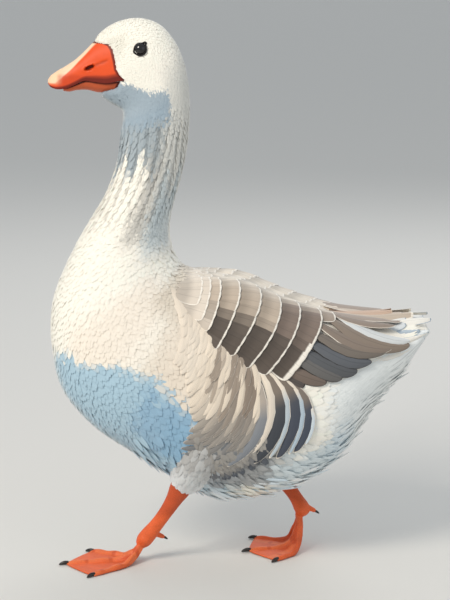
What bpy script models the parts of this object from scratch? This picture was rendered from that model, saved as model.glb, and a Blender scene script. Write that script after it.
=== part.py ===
"""A domestic goose with a grey-brown saddle, walking, life size.

Metres, +Z up. The bill points to -X and the bird's left side faces -Y. The origin is on the
floor, below the middle of the bird's length. Sizes in the tables are millimetres.

Tail, trunk, neck and head are lengths of one form: a row of upright sections, each given by its
point on the back, its point on the belly and its half width. Wings are plates that lie on that
form. Legs are tapered tubes, and each foot is three toes with a web between them.
"""

import math

import bmesh
import bpy
import numpy as np
from mathutils import Matrix, Vector

MM = 0.001
GAP = 0.3  # between neighbouring pieces
BODY_GAP = 0.45  # between the body and what lies on it, where facets differ a little

# Each section of the body: back x, back z, belly x, belly z, half width, fullness below the middle
BODY = {
    "tail_tip": (238.2, 306.0, 235.5, 296.0, 38.0, 0.0),
    "tail_end": (217.0, 307.0, 220.5, 273.0, 50.0, 0.0),
    "tail_mid": (195.5, 307.0, 204.5, 246.0, 54.0, 0.0),
    "tail_root": (173.0, 307.0, 180.5, 219.0, 60.0, 0.0),
    "rump": (148.0, 308.0, 157.0, 189.0, 70.0, 0.02),
    "rump_front": (117.0, 312.5, 132.0, 147.5, 83.0, 0.04),
    "vent": (79.5, 323.0, 100.5, 116.0, 94.0, 0.06),
    "belly_rear": (38.0, 338.0, 57.0, 92.5, 102.0, 0.08),
    "belly": (-2.0, 356.5, 7.0, 81.5, 105.0, 0.10),
    "belly_front": (-34.5, 363.0, -42.0, 82.5, 105.0, 0.10),
    "legs": (-55.5, 367.5, -92.0, 111.0, 104.0, 0.10),
    "keel": (-68.0, 371.0, -139.5, 139.0, 102.0, 0.08),
    "breast_low": (-75.5, 376.0, -189.5, 174.0, 98.0, 0.06),
    "breast": (-80.5, 384.0, -225.5, 219.0, 91.0, 0.04),
    "breast_front": (-85.0, 392.5, -237.5, 272.5, 83.0, 0.04),
    "breast_top": (-88.0, 404.0, -235.5, 329.0, 74.0, 0.04),
    "crop": (-89.5, 417.5, -218.0, 376.0, 64.0, 0.02),
    "neck_root": (-88.0, 437.5, -194.5, 419.0, 54.0, 0.0),
    "neck_low": (-83.0, 459.0, -170.5, 457.5, 46.0, 0.0),
    "neck_mid": (-75.5, 484.0, -156.5, 491.0, 40.5, 0.0),
    "neck_high": (-69.0, 514.0, -150.5, 519.0, 37.0, 0.0),
    "neck_top": (-65.5, 546.0, -147.0, 547.5, 35.0, 0.0),
    "nape_low": (-64.0, 574.0, -146.0, 558.0, 34.0, 0.0),
    "nape": (-65.5, 599.5, -146.5, 565.0, 34.0, 0.0),
    "back_head": (-71.0, 625.5, -149.0, 568.0, 34.0, 0.02),
    "crown_back": (-82.5, 651.0, -152.5, 570.0, 34.0, 0.06),
    "crown": (-100.5, 670.5, -156.0, 572.0, 33.5, 0.10),
    "eye_line": (-122.0, 678.0, -160.5, 574.5, 32.0, 0.14),
    "forehead": (-143.5, 676.5, -165.5, 577.5, 28.5, 0.16),
    "brow": (-162.5, 668.5, -170.5, 581.0, 24.0, 0.16),
    "lore": (-173.5, 660.0, -175.0, 585.0, 21.0, 0.14),
    "bill_root": (-181.0, 650.0, -179.0, 590.5, 18.0, 0.10),
    "inside": (-185.0, 640.5, -183.5, 600.0, 12.0, 0.0),
}
AROUND = 28  # points round a section
SQUARENESS = 0.92  # under 1 squares the oval a little
BODY_ROWS = {"tail": 6, "trunk": 24, "neck": 9, "head": 15}

# Where the form is parted, as a station and a share of the way on to the next
TAIL_CUT = ("tail_mid", 0.55)
NECK_CUT = ("crop", 0.6)
HEAD_CUT = ("neck_top", 0.9)

# The folded wing, from its tip to the shoulder: share of its length, angle of its middle down
# from the back, half its angular width, thickness of its feathers
WING_SPAN = (("tail_tip", 0.85), ("keel", 0.15))
WING = (
    (0.00, 96.0, 2.0, 2.0),
    (0.05, 78.5, 16.5, 4.0),
    (0.12, 59.0, 29.0, 7.0),
    (0.22, 47.0, 35.0, 10.0),
    (0.32, 44.0, 36.0, 13.0),
    (0.42, 43.5, 36.5, 15.0),
    (0.52, 41.5, 34.5, 16.0),
    (0.62, 39.0, 31.0, 16.0),
    (0.74, 37.0, 27.0, 14.0),
    (0.84, 34.5, 20.5, 10.0),
    (0.92, 34.5, 15.5, 6.0),
    (1.00, 36.0, 8.0, 3.0),
)
WING_PART = 0.42  # flight feathers behind this share, covert feathers in front
WING_ROWS = (9, 13)  # rows of points in each of the two
WING_COLUMNS = 9
WING_EDGE = 1.2  # thickness at the rim
WING_CROWN = 2.6  # how late across its width a wing thins to its rim
WING_SUNK = 3.0  # how far under the body's surface a wing starts, before the body is cut from it

# Bill: x, z of the ridge, z of the mouth, half width; all heights follow the closed mouth
UPPER_BILL = (
    (-136.0, 676.0, 605.0, 23.0),
    (-150.0, 669.0, 603.0, 21.5),
    (-164.0, 660.5, 600.5, 20.0),
    (-181.5, 649.0, 602.0, 18.0),
    (-191.5, 639.0, 603.0, 16.6),
    (-204.5, 627.5, 597.5, 15.6),
    (-213.0, 621.8, 594.0, 15.4),
    (-221.5, 616.5, 592.5, 14.8),
    (-230.0, 611.0, 593.5, 12.2),
    (-235.0, 607.0, 596.0, 8.4),
    (-237.3, 603.5, 598.5, 4.0),
)
LOWER_BILL = (
    (-140.0, 602.5, 592.0, 19.5),
    (-150.0, 601.5, 589.5, 19.0),
    (-164.0, 599.8, 588.0, 17.8),
    (-176.0, 600.7, 588.0, 16.4),
    (-190.0, 602.0, 591.0, 14.8),
    (-203.0, 597.0, 590.5, 13.4),
    (-212.0, 593.4, 588.8, 11.5),
    (-218.0, 592.2, 589.3, 7.0),
)
BILL_DOME = 0.75  # under 1 gives the bill full shoulders
BILL_AROUND = 13  # points over the dome
BILL_FLAT = (-0.6, 0.0, 0.6)  # points across the flat of the mouth, in half widths
MOUTH_GAP = 0.5
# Side view of where the feathers stop, round the back of the bill: x, z
BILL_MARGIN = (
    (-250.0, 649.2),
    (-180.0, 649.2),
    (-166.0, 648.8),
    (-160.5, 646.5),
    (-157.0, 641.0),
    (-153.6, 627.0),
    (-152.0, 617.0),
    (-148.5, 610.5),
    (-142.0, 605.6),
    (-148.0, 601.5),
    (-151.0, 597.0),
    (-152.3, 592.5),
    (-156.0, 589.8),
    (-164.0, 587.8),
    (-173.0, 586.6),
    (-250.0, 577.0),
)
MARGIN_FOCUS = (-185.0, 615.0)
MARGIN_SHRINK = 0.985  # the bill's side of the margin, shrunk about its focus, leaves the gap
MARGIN_HALF_WIDTHS = (60.0, 59.0)  # of the room cut in the head, and of what the bill keeps

EYE_SIDE_VIEW = (-123.0, 641.5)  # x, z
EYE_RADIUS = 8.6
EYE_PROUD = 3.2
EYE_SEGMENTS = 12

# Thighs: x, y, z, radius along the bone, hip to hock. Y is outward from the middle.
THIGHS = {
    "left": ((-36.0, 48.0, 188.0, 46.0), (-46.0, 60.0, 156.0, 43.0), (-60.0, 58.0, 128.0, 30.0),
             (-73.0, 48.0, 105.0, 17.0)),
    "right": ((16.0, 50.0, 196.0, 44.0), (25.0, 61.0, 160.0, 41.0), (34.0, 55.0, 127.0, 29.0),
              (42.0, 42.0, 99.0, 17.0)),
}
THIGH_ROWS, THIGH_AROUND = 10, 18
# Ankle joints: x, y outward, z, heading towards the bird's own outer side in degrees
ANKLES = {"left": (-121.0, 34.0, 30.0, 9.0), "right": (79.0, 20.0, 53.0, -12.0)}
# The shank, hock to ankle: share of its length, half thickness fore and aft, half width
SHANK = (
    (0.00, 13.0, 11.0),
    (0.12, 12.0, 9.8),
    (0.26, 9.2, 7.2),
    (0.50, 7.6, 5.8),
    (0.78, 7.8, 6.2),
    (0.94, 9.4, 8.0),
    (1.05, 9.0, 8.4),
    (1.12, 6.0, 5.6),
)
KNUCKLE = 9.6  # radius of the joint where the toes meet
KNUCKLE_SEGMENTS = 10
SHANK_BOW = 3.0  # how far the shank's middle stands behind its ends
SHANK_RISE = 2.0  # how far it runs on into the thigh
SHANK_ROWS = 15
TUBE_AROUND = 14  # points round a shank
CUT_BLOCK = 400.0  # far larger than a whole leg
ANKLE_PART = 0.84  # the foot begins at this share of the shank

TOES = (("outer", 35.0, 92.0), ("middle", 0.0, 105.0), ("inner", -35.0, 82.0))  # angle, length
TOE_HALF_WIDTH = (6.2, 3.6)  # root, tip
TOE_HEIGHT = (9.0, 5.4)
TOE_SWELL = (0.07, 3.5)  # share and number of the swellings over a toe's joints
TOE_CROWD = 0.40  # share of the space between two toes that a toe's half width may fill
TOE_ACROSS = (1.0, 0.6, 0.0, -0.6, -1.0)
TOE_POINT = 0.05  # how far a toe's edges, and the web, stop short of its tip
WEB_STEPS = 2
WEB_BOTTOM, WEB_TOP = 0.9, 2.7
WEB_SCOOP = 5.0  # how far the web's free edge is hollowed between two toes
TOE_ROWS = 8
TOE_START = 0.05  # share of the length where the sheet of the foot begins
# How each foot comes down: height of its root, share of the toes in the air, first slope, and
# how long the slope lasts
FOOT_BENDS = {"left": (22.0, 0.46, 42.0, 1.0), "right": (51.0, 0.62, 88.0, 1.8)}
CLAW = (12.0, 2.9, 1.6)  # length, half width at its root, droop of its point
CLAW_TAPER = ((-0.28, 0.8), (0.0, 1.0), (0.4, 0.78), (0.75, 0.42), (1.0, 0.1))  # share, size
CLAW_AROUND = 6
CLAW_ROOT = (1.0, 3.3)  # how far inside the toe's tip, and how far above the floor
HIND_CLAW = (6.0, 1.9, 0.8)
HIND_TOE = (18.0, 4.2, 2.6)  # length, half width at root and tip
HIND_TAPER = (1.0, 1.0, 1.0, 1.0, 0.6)  # rounds its tip
HIND_ROOT = (0.90, 5.0, 2.0)  # share of the shank, how far behind it, how far to its inner side
HIND_LEAN = (0.86, 0.2, 0.45)  # backward, inward and downward parts of its direction

COLOURS = {
    "feather_white": ((0.86, 0.83, 0.77), 0.75),
    "feather_grey": ((0.30, 0.26, 0.22), 0.70),
    "bill_orange": ((0.80, 0.20, 0.06), 0.42),
    "leg_orange": ((0.75, 0.17, 0.05), 0.45),
    "claw_horn": ((0.05, 0.04, 0.035), 0.35),
    "eye_dark": ((0.02, 0.015, 0.012), 0.08),
}


def collection(name):
    found = bpy.data.collections.new(name)
    bpy.context.scene.collection.children.link(found)
    return found


def clear_scene():
    for old in list(bpy.data.objects):
        bpy.data.objects.remove(old)


def material(name):
    colour, roughness = COLOURS[name]
    made = bpy.data.materials.get(name)
    if made is None:
        made = bpy.data.materials.new(name)
        made.use_nodes = True
        shader = made.node_tree.nodes["Principled BSDF"]
        shader.inputs["Base Color"].default_value = (*colour, 1.0)
        shader.inputs["Roughness"].default_value = roughness
        shader.inputs["Metallic"].default_value = 0.0
    return made


def add_object(name, build, finish, group):
    """An object from a bmesh in millimetres, its origin in the middle of its own box."""
    bmesh.ops.recalc_face_normals(build, faces=build.faces)
    corners = np.array([vertex.co for vertex in build.verts])
    middle = Vector((corners.min(axis=0) + corners.max(axis=0)) / 2)
    bmesh.ops.translate(build, verts=build.verts, vec=-middle)
    bmesh.ops.scale(build, verts=build.verts, vec=Vector((MM, MM, MM)))
    mesh = bpy.data.meshes.new(name)
    build.to_mesh(mesh)
    build.free()
    mesh.shade_smooth()
    mesh.set_sharp_from_angle(angle=math.radians(50))
    obj = bpy.data.objects.new(name, mesh)
    obj.location = middle * MM
    group.objects.link(obj)
    if finish:
        mesh.materials.append(material(finish))
    return obj


def new_object(name, points, faces, finish, group):
    """An object from points in millimetres and faces."""
    build = bmesh.new()
    corners = [build.verts.new(point) for point in points]
    for face in faces:
        build.faces.new([corners[i] for i in face])
    return add_object(name, build, finish, group)


def grid_faces(rows, columns, first=0, closed=False):
    """Quads of a grid of points, whose last column joins its first when closed."""
    across = columns if closed else columns - 1
    return [
        (
            first + r * columns + c,
            first + r * columns + (c + 1) % columns,
            first + (r + 1) * columns + (c + 1) % columns,
            first + (r + 1) * columns + c,
        )
        for r in range(rows - 1)
        for c in range(across)
    ]


def lofted(name, rings, finish, group):
    """A closed solid through rings of points, with flat ends."""
    rings = np.asarray(rings, float)
    rows, columns = rings.shape[:2]
    faces = grid_faces(rows, columns, closed=True)
    faces.append(tuple(range(columns)))
    faces.append(tuple(range((rows - 1) * columns, rows * columns)))
    return new_object(name, rings.reshape(-1, 3), faces, finish, group)


def plate(name, upper, lower, finish, group):
    """A closed solid between two grids of points of one size."""
    rows, columns = upper.shape[:2]
    count = rows * columns
    points = np.concatenate([upper.reshape(-1, 3), lower.reshape(-1, 3)])
    faces = grid_faces(rows, columns) + grid_faces(rows, columns, first=count)
    border = [c for c in range(columns)]
    border += [r * columns + columns - 1 for r in range(1, rows)]
    border += [(rows - 1) * columns + c for c in range(columns - 2, -1, -1)]
    border += [r * columns for r in range(rows - 2, 0, -1)]
    for a, b in zip(border, border[1:] + border[:1]):
        faces.append((a, b, b + count, a + count))
    return new_object(name, points, faces, finish, group)


def helper(obj):
    obj.hide_render = True
    obj.display_type = "WIRE"
    return obj


def combine(obj, other, operation):
    change = obj.modifiers.new(operation.lower() + "_" + other.name, "BOOLEAN")
    change.operation = operation
    change.object = other
    return obj


def spline(knots, values, at):
    """A smooth curve through values: a cubic between knots, with weighted slopes at them."""
    knots, values, at = (np.asarray(x, float) for x in (knots, values, at))
    steps = np.diff(knots)
    secants = np.diff(values, axis=0) / steps[:, None]
    slopes = np.empty_like(values)
    slopes[0], slopes[-1] = secants[0], secants[-1]
    before, after = steps[:-1, None], steps[1:, None]
    slopes[1:-1] = (secants[:-1] * after + secants[1:] * before) / (before + after)
    i = np.clip(np.searchsorted(knots, at, side="right") - 1, 0, len(steps) - 1)
    h = steps[i][..., None]
    u = ((at - knots[i]) / steps[i])[..., None]
    return (
        values[i] * (2 * u**3 - 3 * u**2 + 1)
        + values[i + 1] * (3 * u**2 - 2 * u**3)
        + slopes[i] * h * (u**3 - 2 * u**2 + u)
        + slopes[i + 1] * h * (u**3 - u**2)
    )


STATIONS = list(BODY)
BODY_TABLE = np.array(list(BODY.values()))
_steps = np.diff(BODY_TABLE[:, :4], axis=0)
BODY_KNOTS = np.concatenate(
    [[0.0], np.cumsum((np.hypot(_steps[:, 0], _steps[:, 1]) + np.hypot(_steps[:, 2], _steps[:, 3])) / 2)]
)


def along(place):
    """The distance along the body of a (station, share of the way to the next)."""
    name, share = place
    i = STATIONS.index(name)
    return BODY_KNOTS[i] + share * (BODY_KNOTS[i + 1] - BODY_KNOTS[i])


def body_points(t, turn, lift=0.0):
    """Points of the body at distance t from the tail's tip and angle turn from the back, down
    the left side; lift raises them off the surface."""
    t, turn = np.broadcast_arrays(np.asarray(t, float), np.asarray(turn, float))

    def place(t, turn):
        row = spline(BODY_KNOTS, BODY_TABLE, t)
        up = np.sign(np.cos(turn)) * np.abs(np.cos(turn)) ** SQUARENESS
        out = np.sign(np.sin(turn)) * np.abs(np.sin(turn)) ** SQUARENESS
        x = (row[..., 0] + row[..., 2]) / 2 + (row[..., 0] - row[..., 2]) / 2 * up
        z = (row[..., 1] + row[..., 3]) / 2 + (row[..., 1] - row[..., 3]) / 2 * up
        y = -row[..., 4] * out * (1 - row[..., 5] * up)
        return np.stack([x, y, z], -1)

    points = place(t, turn)
    if np.any(lift):
        step = 0.02
        forward = place(t + 0.5, turn) - place(t - 0.5, turn)
        round_it = place(t, turn + step) - place(t, turn - step)
        normal = np.cross(forward, round_it)
        normal /= np.linalg.norm(normal, axis=-1, keepdims=True)
        points = points + normal * np.asarray(lift, float)[..., None]
    return points


def body_rings(t, lift=0.0):
    turns = np.linspace(0, 2 * math.pi, AROUND, endpoint=False)
    return body_points(t[:, None], turns[None, :], lift)


def body_length(name, t, parts):
    """One length of the body between two places, each end half a gap short of the cut."""
    rings = body_rings(t)
    for ring, inner in ((0, 1), (-1, -2)):
        inward = rings[inner].mean(axis=0) - rings[ring].mean(axis=0)
        across = np.cross(rings[ring][AROUND // 4] - rings[ring].mean(axis=0),
                          rings[ring][0] - rings[ring].mean(axis=0))
        across *= np.sign(across @ inward) / np.linalg.norm(across)
        rings[ring] += across * GAP / 2
    return lofted(name, rings, "feather_white", parts)


def make_body(parts, cutters):
    """The four lengths of the body, and the room that wings and thighs leave for tail and trunk."""
    tail, neck, head = along(TAIL_CUT), along(NECK_CUT), along(HEAD_CUT)
    ends = (0.0, tail, neck, head, BODY_KNOTS[-1])
    lengths = {
        name: np.linspace(ends[i], ends[i + 1], rows)
        for i, (name, rows) in enumerate(BODY_ROWS.items())
    }
    made = {name: body_length(name, t, parts) for name, t in lengths.items()}
    rows = np.concatenate([lengths["tail"], lengths["trunk"][1:]])
    room = lofted("body_room", body_rings(rows, BODY_GAP), None, cutters)
    return made["head"], helper(room)


def make_wing(side, sign, body_room, parts):
    """A plate on the body's side, shaped as a leaf, parted into flight feathers and coverts."""
    start, end = (along(place) for place in WING_SPAN)
    table = np.array(WING)

    def grid(low, high, rows):
        share = np.linspace(low, high, rows)
        middle, half, thick = spline(table[:, 0], table[:, 1:], share).T[..., None]
        across = np.sin(np.linspace(-math.pi / 2, math.pi / 2, WING_COLUMNS))[None, :]
        turn = sign * np.radians(middle + half * across)
        t = (start + (end - start) * share)[:, None] + 0 * across
        height = WING_EDGE + (thick - WING_EDGE) * (1 - np.abs(across) ** WING_CROWN)
        return body_points(t, turn, GAP + height), body_points(t, turn, -WING_SUNK)

    half_gap = GAP / 2 / (end - start)
    behind = grid(0.0, WING_PART - half_gap, WING_ROWS[0])
    ahead = grid(WING_PART + half_gap, 1.0, WING_ROWS[1])
    for name, surfaces in (("_flight_feathers", behind), ("_wing", ahead)):
        combine(plate(side + name, *surfaces, "feather_grey", parts), body_room, "DIFFERENCE")


def dome_rings(table, upward):
    """Bill sections: flat along the mouth and domed above it, or below it."""
    angles = np.linspace(0, math.pi, BILL_AROUND)
    rings = []
    for x, far, mouth, half in table:
        z = mouth + (far - mouth) * np.sin(angles) ** BILL_DOME
        y = half * np.cos(angles)
        flat = half * np.array(BILL_FLAT)
        ring = [(x, a, b) for a, b in zip(y, z)] + [(x, a, mouth) for a in flat]
        rings.append(ring)
    return rings if upward else rings[::-1]


def prism(name, outline, half_width, group):
    """A side-view outline carried across the body."""
    build = bmesh.new()
    face = build.faces.new([build.verts.new((x, -half_width, z)) for x, z in outline])
    carried = bmesh.ops.extrude_face_region(build, geom=[face])["geom"]
    far = [item for item in carried if isinstance(item, bmesh.types.BMVert)]
    bmesh.ops.translate(build, verts=far, vec=(0.0, 2 * half_width, 0.0))
    return helper(add_object(name, build, None, group))


def make_bill(skull, parts, cutters):
    outline = np.array(BILL_MARGIN)
    shrunk = MARGIN_FOCUS + (outline - MARGIN_FOCUS) * MARGIN_SHRINK
    room = prism("bill_room", outline, MARGIN_HALF_WIDTHS[0], cutters)
    keep = prism("bill_margin", shrunk, MARGIN_HALF_WIDTHS[1], cutters)
    combine(skull, room, "DIFFERENCE")
    upper = lofted("upper_bill", dome_rings(UPPER_BILL, True), "bill_orange", parts)
    lower_table = [(x, low, top - MOUTH_GAP, half) for x, top, low, half in LOWER_BILL]
    lower = lofted("lower_bill", dome_rings(lower_table, False), "bill_orange", parts)
    for piece in (upper, lower):
        combine(piece, keep, "INTERSECT")


def ball(name, centre, radius, finish, group, segments=EYE_SEGMENTS):
    """A sphere whose poles point out to the sides."""
    build = bmesh.new()
    turn = Matrix.Translation(centre) @ Matrix.Rotation(math.pi / 2, 4, "X")
    bmesh.ops.create_uvsphere(
        build, u_segments=segments, v_segments=segments // 2 + 1, radius=radius, matrix=turn
    )
    return add_object(name, build, finish, group)


def eye_centre():
    """The eye's centre on the left: its place in side view, sunk from the head's surface."""
    t, turn = np.meshgrid(
        np.linspace(along(("back_head", 0.0)), along(("brow", 0.0)), 160),
        np.linspace(math.radians(20), math.radians(120), 160),
    )
    surface = body_points(t, turn)
    miss = np.hypot(surface[..., 0] - EYE_SIDE_VIEW[0], surface[..., 2] - EYE_SIDE_VIEW[1])
    found = surface[np.unravel_index(np.argmin(miss), miss.shape)]
    return found[0], found[1] + EYE_RADIUS - EYE_PROUD, found[2]


def make_eyes(skull, parts, cutters):
    x, y, z = eye_centre()
    for side, sign in (("left", 1.0), ("right", -1.0)):
        ball(side + "_eye", (x, sign * y, z), EYE_RADIUS, "eye_dark", parts)
        socket = ball(side + "_socket", (x, sign * y, z), EYE_RADIUS + GAP, None, cutters)
        combine(skull, helper(socket), "DIFFERENCE")


def tube_rings(path, fore, wide, count=TUBE_AROUND):
    """Oval rings along a path, their width across the body."""
    path, fore, wide = (np.asarray(x, float) for x in (path, fore, wide))
    forward = np.gradient(path, axis=0)
    forward /= np.linalg.norm(forward, axis=1, keepdims=True)
    side = np.cross(forward, np.cross([0.0, 1.0, 0.0], forward))
    side /= np.linalg.norm(side, axis=1, keepdims=True)
    up = np.cross(side, forward)
    turns = np.linspace(0, 2 * math.pi, count, endpoint=False)[None, :, None]
    return (
        path[:, None]
        + up[:, None] * fore[:, None, None] * np.cos(turns)
        + side[:, None] * wide[:, None, None] * np.sin(turns)
    )


def make_thigh(side, sign, body_room, parts, cutters):
    """The feathered thigh, and the room that the shank leaves for it."""
    table = np.array(THIGHS[side]) * (1, -sign, 1, 1)
    places = np.linspace(0, len(table) - 1, THIGH_ROWS)
    rows = spline(np.arange(len(table)), table, places)
    rings = tube_rings(rows[:, :3], rows[:, 3], rows[:, 3], THIGH_AROUND)
    combine(lofted(side + "_thigh", rings, "feather_white", parts), body_room, "DIFFERENCE")
    down = (rings[-1] - rings[-2]).mean(axis=0)
    wider = tube_rings(rows[:, :3], rows[:, 3] + GAP, rows[:, 3] + GAP, THIGH_AROUND)
    wider[-1] += down / np.linalg.norm(down) * GAP
    return helper(lofted(side + "_thigh_room", wider, None, cutters))


def foot_bend(side, share):
    """How far the toes have run along the floor, and how high they are, as they come down."""
    height, airborne, slope, power = FOOT_BENDS[side]
    fine = np.linspace(0, 1, 401)
    angle = math.radians(slope) * np.clip(1 - (fine / airborne) ** power, 0, None)
    run = np.concatenate([[0], np.cumsum((np.cos(angle[1:]) + np.cos(angle[:-1])) / 2)]) / 400
    drop = np.concatenate([[0], np.cumsum((np.sin(angle[1:]) + np.sin(angle[:-1])) / 2)]) / 400
    return (
        np.interp(share, fine, run),
        height * (1 - np.interp(share, fine, drop) / drop[-1]),
        np.interp(share, fine, angle),
    )


def foot_frame(side, sign):
    """The ankle's place on the floor, and the directions that the foot points and leans to."""
    x, y, _, heading = ANKLES[side]
    turn = math.radians(heading) * sign
    forward = np.array([-math.cos(turn), -math.sin(turn), 0.0])
    outer = sign * np.array([math.sin(turn), -math.cos(turn), 0.0])
    return np.array([x, -sign * y, 0.0]), forward, outer


def foot_place(side, sign, angle, share, length, sideways, height):
    """A point of the foot: a share of the way along a toe of that length and angle, sideways
    off its line, and a height off its sole. The toes spread as if flat while the foot bends."""
    origin, forward, outer = foot_frame(side, sign)
    run, level, slope = foot_bend(side, share)
    ahead = run * length * np.cos(angle) - sideways * np.sin(angle) + height * np.sin(slope)
    beside = share * length * np.sin(angle) + sideways * np.cos(angle)
    above = np.stack([0 * run, 0 * run, level + height * np.cos(slope)], -1)
    return origin + ahead[..., None] * forward + beside[..., None] * outer + above


def toe_sizes(share):
    """Half width and height along a toe, swelling over its joints."""
    swell = 1 + TOE_SWELL[0] * np.cos(share * TOE_SWELL[1] * 2 * math.pi)
    width = (TOE_HALF_WIDTH[0] + (TOE_HALF_WIDTH[1] - TOE_HALF_WIDTH[0]) * share) * swell
    height = (TOE_HEIGHT[0] + (TOE_HEIGHT[1] - TOE_HEIGHT[0]) * share) * swell
    return width, height


def foot_grids(side, sign):
    """The top and the sole of a foot: strips for the toes, joined by strips of web."""
    spread = math.radians(abs(TOES[0][1] - TOES[1][1]))
    share = np.linspace(TOE_START, 1, TOE_ROWS)
    strips_top, strips_sole = [], []
    for _, degrees, length in TOES:
        angle = np.full(TOE_ROWS, math.radians(degrees))
        for across in TOE_ACROSS:
            end = length * (1 - TOE_POINT * across**2)
            half, tall = toe_sizes(share)
            half = np.minimum(half, TOE_CROWD * share * end * spread)
            sideways = half * across
            top = WEB_TOP + (tall - WEB_TOP) * math.sqrt(1 - across**2)
            sole = np.full(TOE_ROWS, WEB_BOTTOM * (abs(across) > 0.9))
            strips_top.append(foot_place(side, sign, angle, share, end, sideways, top))
            strips_sole.append(foot_place(side, sign, angle, share, end, sideways, sole))
    grids = []
    for strips, height in ((strips_top, WEB_TOP), (strips_sole, WEB_BOTTOM)):
        columns = list(strips[: len(TOE_ACROSS)])
        for toe in (1, 2):
            edge, other = strips[toe * len(TOE_ACROSS) - 1], strips[toe * len(TOE_ACROSS)]
            angles = [math.radians(t[1]) for t in TOES[toe - 1 : toe + 1]]
            lengths = [t[2] for t in TOES[toe - 1 : toe + 1]]
            for step in range(1, WEB_STEPS + 1):
                mix = step / (WEB_STEPS + 1)
                length = (lengths[0] * (1 - mix) + lengths[1] * mix) * (1 - TOE_POINT)
                end = length - WEB_SCOOP * math.sin(math.pi * mix) * share**3
                reach = share * end
                half = np.minimum(toe_sizes(share)[0], TOE_CROWD * reach * spread)
                inset = np.arcsin(np.clip(half / reach, 0, 1))
                first, second = angles[0] - inset, angles[1] + inset
                angle = first * (1 - mix) + second * mix
                level = np.full(TOE_ROWS, height)
                columns.append(foot_place(side, sign, angle, share, end, 0 * share, level))
            columns += strips[toe * len(TOE_ACROSS) : (toe + 1) * len(TOE_ACROSS)]
        grids.append(np.stack(columns, 1))
    return grids


def claw_rings(root, direction, length, half, droop, grow=0.0):
    """A pointed, slightly hooked claw from its root."""
    share, taper = np.array(CLAW_TAPER).T
    path = root + direction * (share * (length + grow) - grow * (share < 0))[:, None]
    path[:, 2] -= droop * np.clip(share, 0, 1) ** 2
    size = half * taper + grow
    return tube_rings(path, size, size, CLAW_AROUND)


def leg_line(side, sign):
    hock = np.array(THIGHS[side][-1][:3]) * (1, -sign, 1)
    x, y, z, _ = ANKLES[side]
    return hock, np.array([x, -sign * y, z])


def shank_line(side, sign):
    """The shank's path from hock to ankle and on, with its fore and wide half thicknesses."""
    hock, ankle = leg_line(side, sign)
    table = np.array(SHANK)
    share = np.linspace(0, table[-1, 0], SHANK_ROWS)
    size = spline(table[:, 0], table[:, 1:], share)
    bow = np.array([SHANK_BOW, 0.0, 0.0]) * np.sin(math.pi * share[:, None])
    path = hock + (ankle - hock) * share[:, None] + bow
    path[0] -= (ankle - hock) / np.linalg.norm(ankle - hock) * SHANK_RISE
    return path, size[:, 0], size[:, 1]


def hind_toe(side, sign):
    """The hind toe's root and direction."""
    hock, ankle = leg_line(side, sign)
    _, forward, outer = foot_frame(side, sign)
    share, behind, inward = HIND_ROOT
    root = hock + (ankle - hock) * share - forward * behind - outer * inward
    backward, inward, down = HIND_LEAN
    lean = -forward * backward - outer * inward - np.array([0.0, 0.0, down])
    return root, lean / np.linalg.norm(lean)


def claw_places(side, sign):
    """Each claw's name, root, direction, length, half width and droop."""
    _, forward, outer = foot_frame(side, sign)
    inside, height = CLAW_ROOT
    places = []
    for toe, degrees, length in TOES:
        angle = math.radians(degrees)
        tip = foot_place(side, sign, angle, np.array(1.0), length - inside, np.array(0.0),
                         np.array(height))
        places.append((toe, tip, math.cos(angle) * forward + math.sin(angle) * outer, *CLAW))
    root, back = hind_toe(side, sign)
    places.append(("hind", root + back * (HIND_TOE[0] - inside), back, *HIND_CLAW))
    return places


def make_leg(side, sign, rooms, parts, cutters):
    """Shank, hind toe and foot made as one solid, then parted above the ankle."""
    hock, ankle = leg_line(side, sign)
    path, fore, wide = shank_line(side, sign)
    root, back = hind_toe(side, sign)
    length, thick, thin = HIND_TOE
    steps = np.linspace(0, 1, len(HIND_TAPER))
    hind_path = root + back * length * steps[:, None]
    hind_size = (thick + (thin - thick) * steps) * HIND_TAPER
    claws = claw_places(side, sign)

    def whole(name, group):
        made = lofted(name, tube_rings(path, fore, wide), "leg_orange", group)
        for extra in (sheet, knuckle, hind):
            combine(made, extra, "UNION")
        return made

    sheet = helper(plate(side + "_web", *foot_grids(side, sign), "leg_orange", cutters))
    knuckle = helper(ball(side + "_knuckle", ankle, KNUCKLE, "leg_orange", cutters, KNUCKLE_SEGMENTS))
    hind = helper(lofted(side + "_hind_toe", tube_rings(hind_path, hind_size, hind_size, 8),
                         "leg_orange", cutters))
    cut = hock + (ankle - hock) * ANKLE_PART
    axis = (ankle - hock) / np.linalg.norm(ankle - hock)
    level = axis + np.array([0.0, 0.0, -1.0])  # between the leg's line and straight down
    level /= np.linalg.norm(level)
    turn = Vector(level).to_track_quat("Z", "Y").to_matrix().to_4x4()
    for name, toward in (("_shank", -1.0), ("_foot", 1.0)):
        piece = whole(side + name, parts)
        build = bmesh.new()
        middle = Matrix.Translation(cut + level * toward * (GAP - CUT_BLOCK) / 2)
        bmesh.ops.create_cube(build, size=CUT_BLOCK, matrix=middle @ turn)
        block = helper(add_object(side + name + "_cut", build, None, cutters))
        combine(piece, block, "DIFFERENCE")
        if name == "_shank":
            for room in rooms:
                combine(piece, room, "DIFFERENCE")
        else:
            for toe, tip, direction, reach, half, droop in claws:
                bed = claw_rings(tip, direction, reach, half, droop, GAP)
                bed = helper(lofted(f"{side}_{toe}_bed", bed, None, cutters))
                combine(piece, bed, "DIFFERENCE")
    for toe, tip, direction, reach, half, droop in claws:
        rings = claw_rings(tip, direction, reach, half, droop)
        lofted(f"{side}_{toe}_claw", rings, "claw_horn", parts)


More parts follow.
